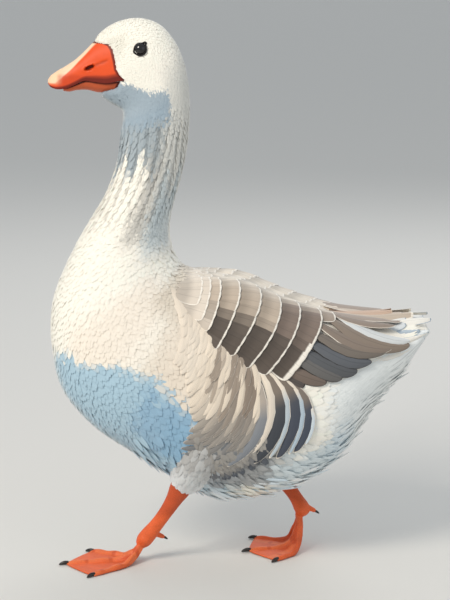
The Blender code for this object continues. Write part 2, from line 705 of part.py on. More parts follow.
def main():
    clear_scene()
    parts, cutters = collection("domestic_goose"), collection("cutters")
    skull, body_room = make_body(parts, cutters)
    make_bill(skull, parts, cutters)
    make_eyes(skull, parts, cutters)
    for side, sign in (("left", 1.0), ("right", -1.0)):
        make_wing(side, sign, body_room, parts)
        thigh_room = make_thigh(side, sign, body_room, parts, cutters)
        make_leg(side, sign, (thigh_room, body_room), parts, cutters)


main()
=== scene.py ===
"""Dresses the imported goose: one skin, a coat of separate feathers, bill, eyes, legs and claws,
then a floor, soft lights and a camera. Tables are in millimetres; the bill points to -X."""

import math

import bpy
import numpy as np
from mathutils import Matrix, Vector


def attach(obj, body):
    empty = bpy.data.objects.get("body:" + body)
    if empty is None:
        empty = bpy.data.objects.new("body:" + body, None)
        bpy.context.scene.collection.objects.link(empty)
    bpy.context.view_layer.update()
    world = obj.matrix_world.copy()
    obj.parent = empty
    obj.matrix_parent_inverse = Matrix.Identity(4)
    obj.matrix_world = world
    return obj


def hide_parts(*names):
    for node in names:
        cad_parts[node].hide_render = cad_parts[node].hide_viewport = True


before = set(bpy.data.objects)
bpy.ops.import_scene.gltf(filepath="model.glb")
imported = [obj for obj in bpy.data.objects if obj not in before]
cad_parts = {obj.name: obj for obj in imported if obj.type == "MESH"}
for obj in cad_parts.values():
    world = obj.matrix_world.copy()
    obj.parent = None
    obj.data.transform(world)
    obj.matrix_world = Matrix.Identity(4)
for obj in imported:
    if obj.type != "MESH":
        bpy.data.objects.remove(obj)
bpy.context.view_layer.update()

MM = 0.001
rng = np.random.default_rng(11)
SIDES = (("left", 1.0), ("right", -1.0))


# ---------------------------------------------------------------- small tools


def linear(code):
    """Linear RGB of an sRGB hex colour."""
    value = np.array([int(code[i : i + 2], 16) for i in (1, 3, 5)]) / 255
    return np.where(value <= 0.04045, value / 12.92, ((value + 0.055) / 1.055) ** 2.4)


def linears(codes):
    return np.array([linear(code) for code in codes])


def mixed(first, second, share):
    """Colours a share of the way from the first to the second."""
    return first + (second - first) * np.asarray(share)[..., None]


def read(table, x):
    """Straight-line reading of a table whose rows are a place and its value."""
    return np.interp(x, *np.array(table, float).T)


def dot(a, b):
    return np.einsum("ij,ij->i", a, b)


def ease(x):
    """0 below 0, 1 above 1, and a smooth step between."""
    x = np.clip(x, 0, 1)
    return x * x * (3 - 2 * x)


def after(x, start, soft):
    """0 up to start, easing to 1 over soft beyond it."""
    return ease((x - start) / soft)


def window(x, low, high, soft):
    """1 from low to high, easing to 0 over soft outside."""
    return ease((x - low + soft) / soft) * ease((high + soft - x) / soft)


def spline(knots, values, at):
    """A smooth curve through values: a cubic between knots, with weighted slopes at them."""
    knots, values, at = (np.asarray(x, float) for x in (knots, values, at))
    steps = np.diff(knots)
    secants = np.diff(values, axis=0) / steps[:, None]
    slopes = np.empty_like(values)
    slopes[0], slopes[-1] = secants[0], secants[-1]
    before, after = steps[:-1, None], steps[1:, None]
    slopes[1:-1] = (secants[:-1] * after + secants[1:] * before) / (before + after)
    i = np.clip(np.searchsorted(knots, at, side="right") - 1, 0, len(steps) - 1)
    h = steps[i][..., None]
    u = ((at - knots[i]) / steps[i])[..., None]
    return (
        values[i] * (2 * u**3 - 3 * u**2 + 1)
        + values[i + 1] * (3 * u**2 - 2 * u**3)
        + slopes[i] * h * (u**3 - 2 * u**2 + u)
        + slopes[i + 1] * h * (u**3 - u**2)
    )


def unit(v):
    return v / np.maximum(np.linalg.norm(v, axis=-1, keepdims=True), 1e-9)


def mesh_object(name, points, faces, finish, body_slot, uv=None, marks=None, sharp=60.0):
    """A piece from points in millimetres and a list of face arrays (quads or triangles). uv maps
    a map's name to one pair a point; marks maps an attribute's name to a value a point."""
    mesh = bpy.data.meshes.new(name)
    points = np.asarray(points, float).reshape(-1, 3) * MM
    mesh.vertices.add(len(points))
    mesh.vertices.foreach_set("co", points.ravel())
    loops = np.concatenate([np.asarray(f).ravel() for f in faces]).astype(np.int32)
    sizes = np.concatenate([np.full(len(f), np.asarray(f).shape[1]) for f in faces])
    mesh.loops.add(len(loops))
    mesh.loops.foreach_set("vertex_index", loops)
    mesh.polygons.add(len(sizes))
    starts = np.concatenate([[0], np.cumsum(sizes)[:-1]]).astype(np.int32)
    mesh.polygons.foreach_set("loop_start", starts)
    mesh.update(calc_edges=True)
    for map_name, pairs in (uv or {}).items():
        layer = mesh.uv_layers.new(name=map_name)
        layer.data.foreach_set("uv", np.asarray(pairs, float).reshape(-1, 2)[loops].ravel())
    for mark, values in (marks or {}).items():
        values = np.asarray(values, float).reshape(len(points), -1)
        kind, field = {
            1: ("FLOAT", "value"),
            3: ("FLOAT_VECTOR", "vector"),
            4: ("FLOAT_COLOR", "color"),
        }[values.shape[1]]
        made = mesh.attributes.new(mark, kind, "POINT")
        made.data.foreach_set(field, values.ravel())
    mesh.shade_smooth()
    if sharp:
        mesh.set_sharp_from_angle(angle=math.radians(sharp))
    mesh.materials.append(finish)
    obj = bpy.data.objects.new(name, mesh)
    bpy.context.scene.collection.objects.link(obj)
    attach(obj, "root")
    return obj


def ground_mark(colour):
    """The mark of a piece's colours, painted shade and highlight among them: a colour a point, and a
    full alpha.
    """
    return {"ground": np.column_stack([colour, np.ones(len(colour))])}


def grid_faces(rows, columns):
    """Quads of a grid of points, whose last column joins its first."""
    r, c = np.meshgrid(np.arange(rows - 1), np.arange(columns), indexing="ij")
    after = (c + 1) % columns
    quads = [r * columns + c, r * columns + after, (r + 1) * columns + after, (r + 1) * columns + c]
    return np.stack(quads, -1).reshape(-1, 4)


def fan_faces(ring, hub, turned=False):
    """Triangles from each edge of a ring of point numbers to a hub point."""
    after = np.roll(ring, -1)
    pair = (after, ring) if turned else (ring, after)
    return np.stack([*pair, np.full(len(ring), hub)], -1)


def shell(rings):
    """Points and faces of a closed shell through rings, its ends closed to their middles."""
    rings = np.asarray(rings, float)
    rows, columns = rings.shape[:2]
    points = np.concatenate([rings.reshape(-1, 3), rings[:1].mean(1), rings[-1:].mean(1)])
    first, last = np.arange(columns), np.arange((rows - 1) * columns, rows * columns)
    count = rows * columns
    triangles = np.concatenate(
        [fan_faces(first, count, turned=True), fan_faces(last, count + 1)]
    )
    quads = grid_faces(rows, columns)
    corners = points[quads[:, :3]] - points.mean(0)
    if np.einsum("ij,ij->i", corners[:, 0], np.cross(corners[:, 1], corners[:, 2])).sum() < 0:
        quads, triangles = quads[:, ::-1], triangles[:, ::-1]
    return points, quads, triangles


def add(tree, kind, inputs=(), **settings):
    """Adds a node with its settings; each input is a value or another node's output."""
    node = tree.nodes.new("ShaderNode" + kind)
    for key, value in settings.items():
        setattr(node, key, value)
    for key, value in dict(inputs).items():
        if isinstance(value, bpy.types.NodeSocket):
            tree.links.new(value, node.inputs[key])
        else:
            node.inputs[key].default_value = value
    return node


def principled(name, **values):
    """A new material and its tree and shader, with plain numbers on the shader's sockets."""
    made = bpy.data.materials.new(name)
    made.use_nodes = True
    shader = made.node_tree.nodes["Principled BSDF"]
    for key, value in values.items():
        shader.inputs[key.replace("_", " ")].default_value = value
    return made, made.node_tree, shader


def math_node(tree, operation, *values):
    return add(tree, "Math", dict(enumerate(values)), operation=operation).outputs[0]


# ---------------------------------------------------------------- the bird's form

# Each section of the body: back x, back z, belly x, belly z, half width, fullness below the middle
BODY = {
    "tail_tip": (238.2, 306.0, 235.5, 296.0, 38.0, 0.0),
    "tail_end": (217.0, 307.0, 220.5, 273.0, 50.0, 0.0),
    "tail_mid": (195.5, 307.0, 204.5, 246.0, 54.0, 0.0),
    "tail_root": (173.0, 307.0, 180.5, 219.0, 60.0, 0.0),
    "rump": (148.0, 308.0, 157.0, 189.0, 70.0, 0.02),
    "rump_front": (117.0, 312.5, 132.0, 147.5, 83.0, 0.04),
    "vent": (79.5, 323.0, 100.5, 116.0, 94.0, 0.06),
    "belly_rear": (38.0, 338.0, 57.0, 92.5, 102.0, 0.08),
    "belly": (-2.0, 356.5, 7.0, 81.5, 105.0, 0.10),
    "belly_front": (-34.5, 363.0, -42.0, 82.5, 105.0, 0.10),
    "legs": (-55.5, 367.5, -92.0, 111.0, 104.0, 0.10),
    "keel": (-68.0, 371.0, -139.5, 139.0, 102.0, 0.08),
    "breast_low": (-75.5, 376.0, -189.5, 174.0, 98.0, 0.06),
    "breast": (-80.5, 384.0, -225.5, 219.0, 91.0, 0.04),
    "breast_front": (-85.0, 392.5, -237.5, 272.5, 83.0, 0.04),
    "breast_top": (-88.0, 404.0, -235.5, 329.0, 74.0, 0.04),
    "crop": (-89.5, 417.5, -218.0, 376.0, 64.0, 0.02),
    "neck_root": (-88.0, 437.5, -194.5, 419.0, 54.0, 0.0),
    "neck_low": (-83.0, 459.0, -170.5, 457.5, 46.0, 0.0),
    "neck_mid": (-75.5, 484.0, -156.5, 491.0, 40.5, 0.0),
    "neck_high": (-69.0, 514.0, -150.5, 519.0, 37.0, 0.0),
    "neck_top": (-65.5, 546.0, -147.0, 547.5, 35.0, 0.0),
    "nape_low": (-64.0, 574.0, -146.0, 558.0, 34.0, 0.0),
    "nape": (-65.5, 599.5, -146.5, 565.0, 34.0, 0.0),
    "back_head": (-71.0, 625.5, -149.0, 568.0, 34.0, 0.02),
    "crown_back": (-82.5, 651.0, -152.5, 570.0, 34.0, 0.06),
    "crown": (-100.5, 670.5, -156.0, 572.0, 33.5, 0.10),
    "eye_line": (-122.0, 678.0, -160.5, 574.5, 32.0, 0.14),
    "forehead": (-143.5, 676.5, -165.5, 577.5, 28.5, 0.16),
    "brow": (-162.5, 668.5, -170.5, 581.0, 24.0, 0.16),
    "lore": (-173.5, 660.0, -175.0, 585.0, 21.0, 0.14),
    "bill_root": (-181.0, 650.0, -179.0, 590.5, 18.0, 0.10),
    "inside": (-185.0, 640.5, -183.5, 600.0, 12.0, 0.0),
}


# The folded wing, from its tip to the shoulder: share of its length, angle of its middle down
# from the back, half its angular width, thickness of its feathers
WING_SPAN = (("tail_tip", 0.85), ("keel", 0.15))  # stations it runs between
WING = (
    (0.00, 96.0, 2.0, 2.0),
    (0.05, 78.5, 16.5, 4.0),
    (0.12, 59.0, 29.0, 7.0),
    (0.22, 47.0, 35.0, 10.0),
    (0.32, 44.0, 36.0, 13.0),
    (0.42, 43.5, 36.5, 15.0),
    (0.52, 41.5, 34.5, 16.0),
    (0.62, 39.0, 31.0, 16.0),
    (0.74, 37.0, 27.0, 14.0),
    (0.84, 34.5, 20.5, 10.0),
    (0.92, 34.5, 15.5, 6.0),
    (1.00, 36.0, 8.0, 3.0),
)
WING_EDGE = 1.2  # its thickness at the rim


SQUARENESS = 0.92  # under 1 squares the oval a little
STATIONS = list(BODY)
BODY_TABLE = np.array(list(BODY.values()))
# distance along the body is the mean of the runs along its back and its belly
_steps = np.diff(BODY_TABLE[:, :4], axis=0)
_runs = (np.hypot(_steps[:, 0], _steps[:, 1]) + np.hypot(_steps[:, 2], _steps[:, 3])) / 2
BODY_KNOTS = np.concatenate([[0.0], np.cumsum(_runs)])
BODY_LENGTH = BODY_KNOTS[-1]


def at(name, share=0.0):
    """The distance along the body, from the tail's tip, of a station and a share on to the next."""
    i = STATIONS.index(name)
    return BODY_KNOTS[i] + share * (BODY_KNOTS[min(i + 1, len(STATIONS) - 1)] - BODY_KNOTS[i])


def section(t, turn):
    """Point of the body: an oval whose upright axis runs from back to belly, squared a little by
    a power of sine and cosine, and made fuller below its middle."""
    row = spline(BODY_KNOTS, BODY_TABLE, t)
    up = np.sign(np.cos(turn)) * np.abs(np.cos(turn)) ** SQUARENESS
    out = np.sign(np.sin(turn)) * np.abs(np.sin(turn)) ** SQUARENESS
    x = (row[..., 0] + row[..., 2]) / 2 + (row[..., 0] - row[..., 2]) / 2 * up
    z = (row[..., 1] + row[..., 3]) / 2 + (row[..., 1] - row[..., 3]) / 2 * up
    y = -row[..., 4] * out * (1 - row[..., 5] * up)
    return np.stack([x, y, z], -1)


FORM_T = np.linspace(-30, BODY_LENGTH + 4, 700)
FORM_TURN = np.linspace(-math.pi * 1.25, math.pi * 1.25, 451)


def build_form():
    """The body's points and outward normals on a fine grid of distance and turn."""
    points = section(FORM_T[:, None], FORM_TURN[None, :])
    down_t = np.gradient(points, FORM_T, axis=0)
    round_it = np.gradient(points, FORM_TURN, axis=1)
    return points, unit(np.cross(down_t, round_it))


FORM, FORM_NORMAL = build_form()


def sample(grid, t, turn):
    """Bilinear reading of a grid over distance and turn."""
    r = np.clip((t - FORM_T[0]) / (FORM_T[1] - FORM_T[0]), 0, len(FORM_T) - 1.001)
    c = np.clip((turn - FORM_TURN[0]) / (FORM_TURN[1] - FORM_TURN[0]), 0, len(FORM_TURN) - 1.001)
    i, j = r.astype(int), c.astype(int)
    if grid.ndim == 3:
        r, c = (r - i)[..., None], (c - j)[..., None]
    else:
        r, c = r - i, c - j
    low = grid[i, j] * (1 - c) + grid[i, j + 1] * c
    high = grid[i + 1, j] * (1 - c) + grid[i + 1, j + 1] * c
    return low * (1 - r) + high * r


def body(t, turn, lift=0.0):
    """Points at a height off the body's surface."""
    t, turn, lift = np.broadcast_arrays(*(np.asarray(x, float) for x in (t, turn, lift)))
    return sample(FORM, t, turn) + unit(sample(FORM_NORMAL, t, turn)) * lift[..., None]


WING_START, WING_END = (at(*place) for place in WING_SPAN)
WING_TABLE = np.array(WING)


def wing_height(t, turn):
    """Thickness of the folded wing over the body: crowned between its rims, nothing outside."""
    share = (t - WING_START) / (WING_END - WING_START)
    row = spline(WING_TABLE[:, 0], WING_TABLE[:, 1:], np.clip(share, 0, 1))
    across = np.abs((np.degrees(np.abs(turn)) - row[..., 0]) / np.maximum(row[..., 1], 2.0))
    height = WING_EDGE + (row[..., 2] - WING_EDGE) * (1 - np.clip(across, 0, 1) ** 2.6)
    inside = ease((1.06 - across) / 0.06) * ease((share + 0.04) / 0.04) * ease((1.04 - share) / 0.04)
    return height * inside


WING_GRID = wing_height(FORM_T[:, None], FORM_TURN[None, :])


def cloak(t, turn, lift=0.0):
    """Points at a height off the body and the wings folded on it."""
    t, turn, lift = np.broadcast_arrays(*(np.asarray(x, float) for x in (t, turn, lift)))
    return body(t, turn, lift + sample(WING_GRID, t, turn))


# ---------------------------------------------------------------- markings and painted shade

CREAM = linear("#FBF6EA")
# Washes of colour over the cream, markings and painted shade, laid in this order: colour, strength,
# distance from tail tip and its softness, turn down from the back in degrees and its softness
WASHES = (
    # painted shade: light grey-beige behind the bill
    ("#E0DED0", 0.60, (838, 868, 8), (60, 112, 14)),  # lore
    # painted shade: grey-blue on the neck under the head
    ("#8E9FAA", 0.85, (702, 744, 24), (80, 200, 16)),  # upper front of the neck
    # painted shade: grey on the neck's side
    ("#ABB0B0", 0.75, (690, 745, 24), (52, 82, 14)),  # upper side of the neck
    # painted shade: grey on the neck's side
    ("#B9B6AF", 0.80, (610, 690, 34), (50, 80, 16)),  # side of the neck
    # painted shade: light grey on the nape
    ("#D9D8D1", 0.80, (640, 770, 30), (-10, 62, 18)),  # nape
    # painted shade: pale blue on the hind neck
    ("#B9CAD2", 0.62, (590, 655, 50), (20, 52, 20)),  # hind neck, low
    ("#F0E5D6", 0.75, (470, 505, 34), (60, 116, 26)),  # breast
    ("#E6DBCB", 0.80, (380, 420, 40), (56, 104, 20)),  # side of the breast
    # painted shade: blue under the belly
    ("#BACFDB", 0.85, (330, 380, 26), (102, 190, 14)),  # belly
    ("#D8CCBA", 0.80, (345, 470, 30), (-10, 50, 18)),  # shoulder
    ("#E6D9C8", 0.85, (300, 396, 40), (50, 98, 14)),  # front of the flank
    ("#B9AD9E", 0.75, (262, 330, 20), (84, 118, 12)),  # flank
    ("#8F9295", 0.85, (282, 346, 14), (108, 136, 8)),  # below the flank
    ("#EDF2F2", 0.85, (-20, 190, 20), (84, 190, 10)),  # under the tail
    # painted shade: blue under the belly behind the legs
    ("#CBDCE5", 0.75, (190, 262, 30), (124, 190, 12)),  # belly behind the legs
)


# Upper edge of the painted grey-blue shade under the throat, from the nape's side round to the chin:
# turn, distance
THROAT_SHADE_EDGE = (
    (60, 758), (68, 766), (95, 777), (107, 794), (117, 820), (128, 850), (200, 868),
)


# Upper edge of the painted blue-grey shade on the lower breast: distance, turn
BREAST_SHADE_EDGE = (
    (340, 99), (348, 94), (376, 90), (404, 88), (433, 90), (455, 96), (467, 108), (485, 122),
    (495, 138), (510, 175),
)


WASH_EDGE_STRENGTH = 0.92
# The breast's painted shade between two distances and the throat's from a distance and a turn
# on, each with its softness, and the turn from which each pales towards the midline
BREAST_REAR, BREAST_FRONT, BREAST_PALE = (344, 16), (512, 12), (148, 26)
THROAT_REAR, THROAT_SIDE, THROAT_PALE = (738, 12), (62, 8), (150, 26)
EDGE_SOFT = 8  # of both edges, in degrees for the breast's and millimetres for the throat's
# colours of the painted shade on the lower breast and under the throat
BREAST_SHADE_BLUE, BREAST_DEEP_SHADE, THROAT_SHADE_BLUE = linears(("#A2C4D7", "#86AFCB", "#97AAB8"))


def breast_painted_shade(colour, t, degrees):
    """Painted shade in blue-grey over the lower breast, deeper in front of the legs and paler on the
    midline.
    """
    mix = WASH_EDGE_STRENGTH * ease((degrees - read(BREAST_SHADE_EDGE, t - EDGE_SOFT)) / EDGE_SOFT)
    mix = mix * after(t, *BREAST_REAR) * after(-t, -BREAST_FRONT[0], BREAST_FRONT[1])
    mix *= 1 - 0.5 * after(degrees, *BREAST_PALE)
    deep = window(t, 362, 412, 16) * window(degrees, 101, 127, 7)
    return mixed(colour, mixed(BREAST_SHADE_BLUE, BREAST_DEEP_SHADE, deep), mix)


def throat_painted_shade(colour, t, degrees):
    """Painted shade in grey-blue under the head, paler on the midline."""
    mix = WASH_EDGE_STRENGTH * ease((read(THROAT_SHADE_EDGE, degrees) + EDGE_SOFT - t) / EDGE_SOFT)
    mix = mix * after(t, *THROAT_REAR) * after(degrees, *THROAT_SIDE)
    mix *= 1 - 0.4 * after(degrees, *THROAT_PALE)
    return mixed(colour, THROAT_SHADE_BLUE, mix)


def ground_colour(t, turn):
    """The coat's colour at a place: cream with its washes, which are markings and painted shade."""
    degrees = np.degrees(np.abs(turn))
    colour = np.broadcast_to(CREAM, (*np.shape(t), 3))
    for code, strength, (low, high, soft), (top, bottom, fade) in WASHES:
        mix = strength * window(t, low, high, soft) * window(degrees, top, bottom, fade)
        colour = mixed(colour, linear(code), mix)
    return throat_painted_shade(breast_painted_shade(colour, t, degrees), t, degrees)


# ---------------------------------------------------------------- feathers

# Outline of a vane: share of its length from the root, share of its half width
CONTOUR = ((0.0, 0.42), (0.35, 0.86), (0.70, 1.0), (0.91, 0.72))
DOWNY = ((0.0, 0.50), (0.45, 1.0), (0.80, 0.62))
POINTED = ((0.0, 0.45), (0.30, 0.88), (0.55, 1.0), (0.75, 0.82), (0.90, 0.45))
BROAD = (
    (0.0, 0.50), (0.15, 0.70), (0.30, 0.86), (0.42, 0.94), (0.55, 0.98), (0.68, 1.0), (0.80, 0.98),
    (0.88, 0.91), (0.94, 0.78), (0.975, 0.58), (0.994, 0.30),
)
QUILL = (
    (0.0, 0.42), (0.15, 0.70), (0.32, 0.93), (0.50, 1.0), (0.66, 1.0), (0.78, 0.95), (0.87, 0.83),
    (0.93, 0.67), (0.97, 0.46), (0.992, 0.24),
)
PRONG = (
    (0.0, 0.46), (0.16, 0.74), (0.34, 0.95), (0.52, 1.0), (0.66, 0.95), (0.78, 0.84), (0.87, 0.69),
    (0.94, 0.50), (0.985, 0.26),
)
PLUME = (
    (0.0, 0.36), (0.18, 0.74), (0.40, 0.97), (0.60, 1.0), (0.76, 0.86), (0.88, 0.62), (0.96, 0.34),
)
THREE, SEVEN = (-1.0, 0.0, 1.0), (-1.0, -0.72, -0.38, 0.0, 0.38, 0.72, 1.0)
PATCH = 0.0015  # half of the bit of the bake's map that one vane takes
PATCH_MARGIN = 0.02  # round the bake's map
CHANGE, CHANGE_SOFT = 0.42, 0.16  # share of a vane's length where its second colour takes over


def slopes(surface, t, turn):
    """Change of a surface's points with distance and with turn."""
    by_t = (surface(t + 1, turn) - surface(t - 1, turn)) / 2
    return by_t, (surface(t, turn + 0.01) - surface(t, turn - 0.01)) / 0.02


def vane_ways(surface, t, turn, lean, length, to):
    """At each vane's root: the surface's normal, the steps of distance and turn for a millimetre
    along the vane and across it towards the belly, and its length."""
    p_t, p_u = slopes(surface, t, turn)
    normal = unit(np.cross(p_t, p_u))
    back = -unit(p_t)
    down = unit(np.cross(normal, back))
    down *= np.sign(dot(down, p_u) * np.where(turn < 0, -1.0, 1.0))[:, None]
    tt, tu, uu = dot(p_t, p_t), dot(p_t, p_u), dot(p_u, p_u)
    area = np.maximum(tt * uu - tu * tu, 1e-6)

    def steps(way):
        a, b = dot(way, p_t), dot(way, p_u)
        return (uu * a - tu * b) / area, (tt * b - tu * a) / area

    if to is None:
        ahead = back * np.cos(lean)[:, None] + down * np.sin(lean)[:, None]
        beside = down * np.cos(lean)[:, None] - back * np.sin(lean)[:, None]
    else:
        ahead = p_t * (to[0] - t)[:, None] + p_u * (to[1] - turn)[:, None]
        length = np.linalg.norm(ahead, axis=1)
        ahead = ahead / length[:, None]
        hand = np.sign(dot(np.cross(normal, back), down))
        beside = unit(np.cross(normal, ahead)) * hand[:, None]
    return normal, steps(ahead), steps(beside), length


def vane_faces(count, rows, columns, turned):
    """Faces of all vanes: quads between rows, a fan at the tip and one over the root."""
    one = rows * columns + 1
    tip = fan_faces(np.arange(one - 1 - columns, one - 1), one - 1)
    root = np.array([[0, i + 1, i] for i in range(1, columns - 1)])
    first = (np.arange(count) * one)[:, None, None]
    faces = (f[:, ::-1] if turned else f for f in (grid_faces(rows, columns), tip, root))
    return [(f[None] + first).reshape(-1, f.shape[1]) for f in faces]


def per_point(count, rows, columns, grid):
    """Values over the rows and columns of every vane as one run, the tip's row as one point."""
    grid = np.broadcast_to(grid, (count, rows + 1, columns))
    kept = [grid[:, :rows].reshape(count, -1), grid[:, rows:, (columns - 1) // 2]]
    return np.concatenate(kept, 1).ravel()


def vanes(name, surface, t, turn, lean, length, width, base, tip, ground, finish, part_slot,
          outline=CONTOUR, across=THREE, bow=0.0, roll=0.0, border=None, rim=0.0, crown=0.5,
          from_tip=False, to=None, arch=0.0, thick=0.45, cup=0.0, unwrap=None):
    """Closed vanes on a surface of distance and turn. Each runs from its root backwards, turned
    down by its lean, its centre line lifted from base to tip; its section is a flat lens: a row
    of points across the top and one below. bow sweeps it sideways with the square of its length,
    roll tilts it about its line, and cup lowers its edges. Instead of a lean and a length, "to"
    may give the distance and turn of each tip, and arch the width in millimetres by which the
    middle of the vane then swings to the side. The ground may hold two colours for each vane, one
    towards its root and one towards its tip."""
    t, turn, lean, length, width, base, tip, bow, roll, rim, arch = (
        np.broadcast_to(np.asarray(x, float), np.shape(t))
        for x in (t, turn, lean, length, width, base, tip, bow, roll, rim, arch)
    )
    normal, along, over, length = vane_ways(surface, t, turn, lean, length, to)
    if from_tip:
        t, turn = t - along[0] * length, turn - along[1] * length
    if unwrap is None:
        unwrap = (turn / (2 * math.pi) % 1.0, (t - t.min()) / max(np.ptp(t), 1e-6))
    centre = [PATCH_MARGIN + (1 - 2 * PATCH_MARGIN) * np.clip(x, 0, 1) for x in unwrap]
    # from here on the axes are vane, row and column; the last row is the tip, the last column
    # the point below, and only the tip's middle point is kept
    ends, wide = np.array((*outline, (1.0, 0.0))).T[:, :, None]
    u, under = np.append(across, 0.0), np.append(np.zeros(len(across)), 1.0)
    count, rows, columns = len(t), len(outline), len(u)
    middle_t, middle_u, long, half, low, high, swept, tilt, arc = (
        x[:, None, None] for x in (t, turn, length, width / 2, base, tip, bow * length, roll, arch)
    )
    swing = swept * ends**2 + arc * 4 * ends * (1 - ends)
    sway = half * wide * u + swing
    where_t, where_u = (
        middle + long * ends * step[:, None, None] + sway * side_step[:, None, None]
        for middle, step, side_step in zip((middle_t, middle_u), along, over)
    )
    lift = (
        low
        + (high - low) * ends
        + (crown * (1 - u**2) - cup * u**2) * np.sqrt(wide)
        + tilt * u
        - (thick + crown) * under * np.sqrt(wide)
    )
    points = surface(where_t, where_u, lift)
    x, y, z = (per_point(count, rows, columns, points[..., k]) for k in range(3))
    points = np.stack([x, y, z], -1).reshape(count, -1, 3)
    from_root = points[:, [columns, 1]] - points[:, :1]
    turned = dot(np.cross(from_root[:, 0], from_root[:, 1]), normal).sum() > 0

    def marks_of(*grids):
        return np.stack([per_point(count, rows, columns, grid) for grid in grids], -1)

    if np.ndim(ground) < 3:
        ground = np.repeat(np.broadcast_to(ground, (count, 3))[:, None], 2, 1)
    outer = ease((ends - CHANGE) / CHANGE_SOFT)
    colours = (g[:, :1, None] * (1 - outer) + g[:, 1:, None] * outer for g in np.moveaxis(ground, 2, 0))
    edge = ground[:, 1] if border is None else np.broadcast_to(border, (count, 3))
    patch = (u + 0.3 * under, 2 * ends - 1 - 0.25 * under)
    return mesh_object(
        name, points, vane_faces(count, rows, columns, turned), finish, part_slot,
        uv={"OFBake": marks_of(*(c[:, None, None] + PATCH * p for c, p in zip(centre, patch)))},
        marks={
            "vane": marks_of(half * wide * u, long * (1 - ends), half * wide),
            "ground": marks_of(*colours, 1.0),
            "border": np.repeat(np.column_stack([edge, rim]), rows * columns + 1, 0),
        },
    )


JITTER = 0.28  # how far a place may stray, as a share of the steps
ROOM = 1.25  # feathers are left out where a step of distance is less than 1 / 1.25 mm long


def carpet(low, high, spacing, lateral):
    """Staggered rows of places between two distances along the body: rows a spacing apart, and
    places a lateral step apart along each row's own girth. Some are left out where the rows
    crowd together."""
    t, rows = low, []
    while t < high:
        rows.append(t)
        t += spacing
    fine = np.radians(np.linspace(-180.0, 180.0, 361))
    ts, us = [], []
    for k, t in enumerate(rows):
        girth = np.linalg.norm(np.diff(body(np.full(len(fine), t), fine), axis=0), axis=1)
        reach = np.concatenate([[0], np.cumsum(girth)])
        count = max(int(reach[-1] / lateral), 2)
        place = (np.arange(count) + 0.5 * (k % 2) + 0.25) / count
        place += rng.uniform(-JITTER, JITTER, count) / count
        us.append(np.interp(place * reach[-1], reach, fine))
        ts.append(t + rng.uniform(-JITTER, JITTER, count) * spacing)
    t, turn = np.concatenate(ts), np.concatenate(us)
    room = np.linalg.norm(body(t + 1, turn) - body(t - 1, turn), axis=-1) / 2
    keep = rng.uniform(size=len(t)) < np.clip(room * ROOM, 0.05, 1)
    return t[keep], turn[keep]


def strewn(t, turn, amount=1.0):
    """The coat's colour for feathers, with the edges of its markings and of its painted shade broken
    up.
    """
    return ground_colour(
        t + rng.normal(0, 5.0 * amount, t.shape), turn + rng.normal(0, 0.06 * amount, t.shape)
    )


def tinted(colour, spread, count):
    """Colours a little lighter or darker from vane to vane."""
    return np.clip(colour * (1 + rng.normal(0, spread, count))[:, None], 0, 0.95)


# ---------------------------------------------------------------- finishes


def ramp(tree, value, start, end, low, high, kind="SMOOTHSTEP"):
    """low up to start, high from end on, and a blend between."""
    inputs = {"Value": value, "From Min": start, "From Max": end, "To Min": low, "To Max": high}
    return add(tree, "MapRange", inputs, interpolation_type=kind).outputs[0]


def noise(tree, scale, detail, **inputs):
    place = add(tree, "TexCoord").outputs["Object"]
    inputs = {"Vector": place, "Scale": scale, "Detail": detail, **inputs}
    return add(tree, "TexNoise", inputs).outputs["Fac"]


def attribute(tree, name):
    return add(tree, "Attribute", attribute_name=name)


def paint(tree, shader, colour, bright, height, strength, depth):
    """Puts a colour times a brightness, and a bump of a depth in metres, on a shader."""
    final = add(tree, "VectorMath", {0: colour, "Scale": bright}, operation="SCALE")
    tree.links.new(final.outputs[0], shader.inputs["Base Color"])
    bump = add(tree, "Bump", {"Height": height, "Strength": strength, "Distance": depth})
    tree.links.new(bump.outputs[0], shader.inputs["Normal"])


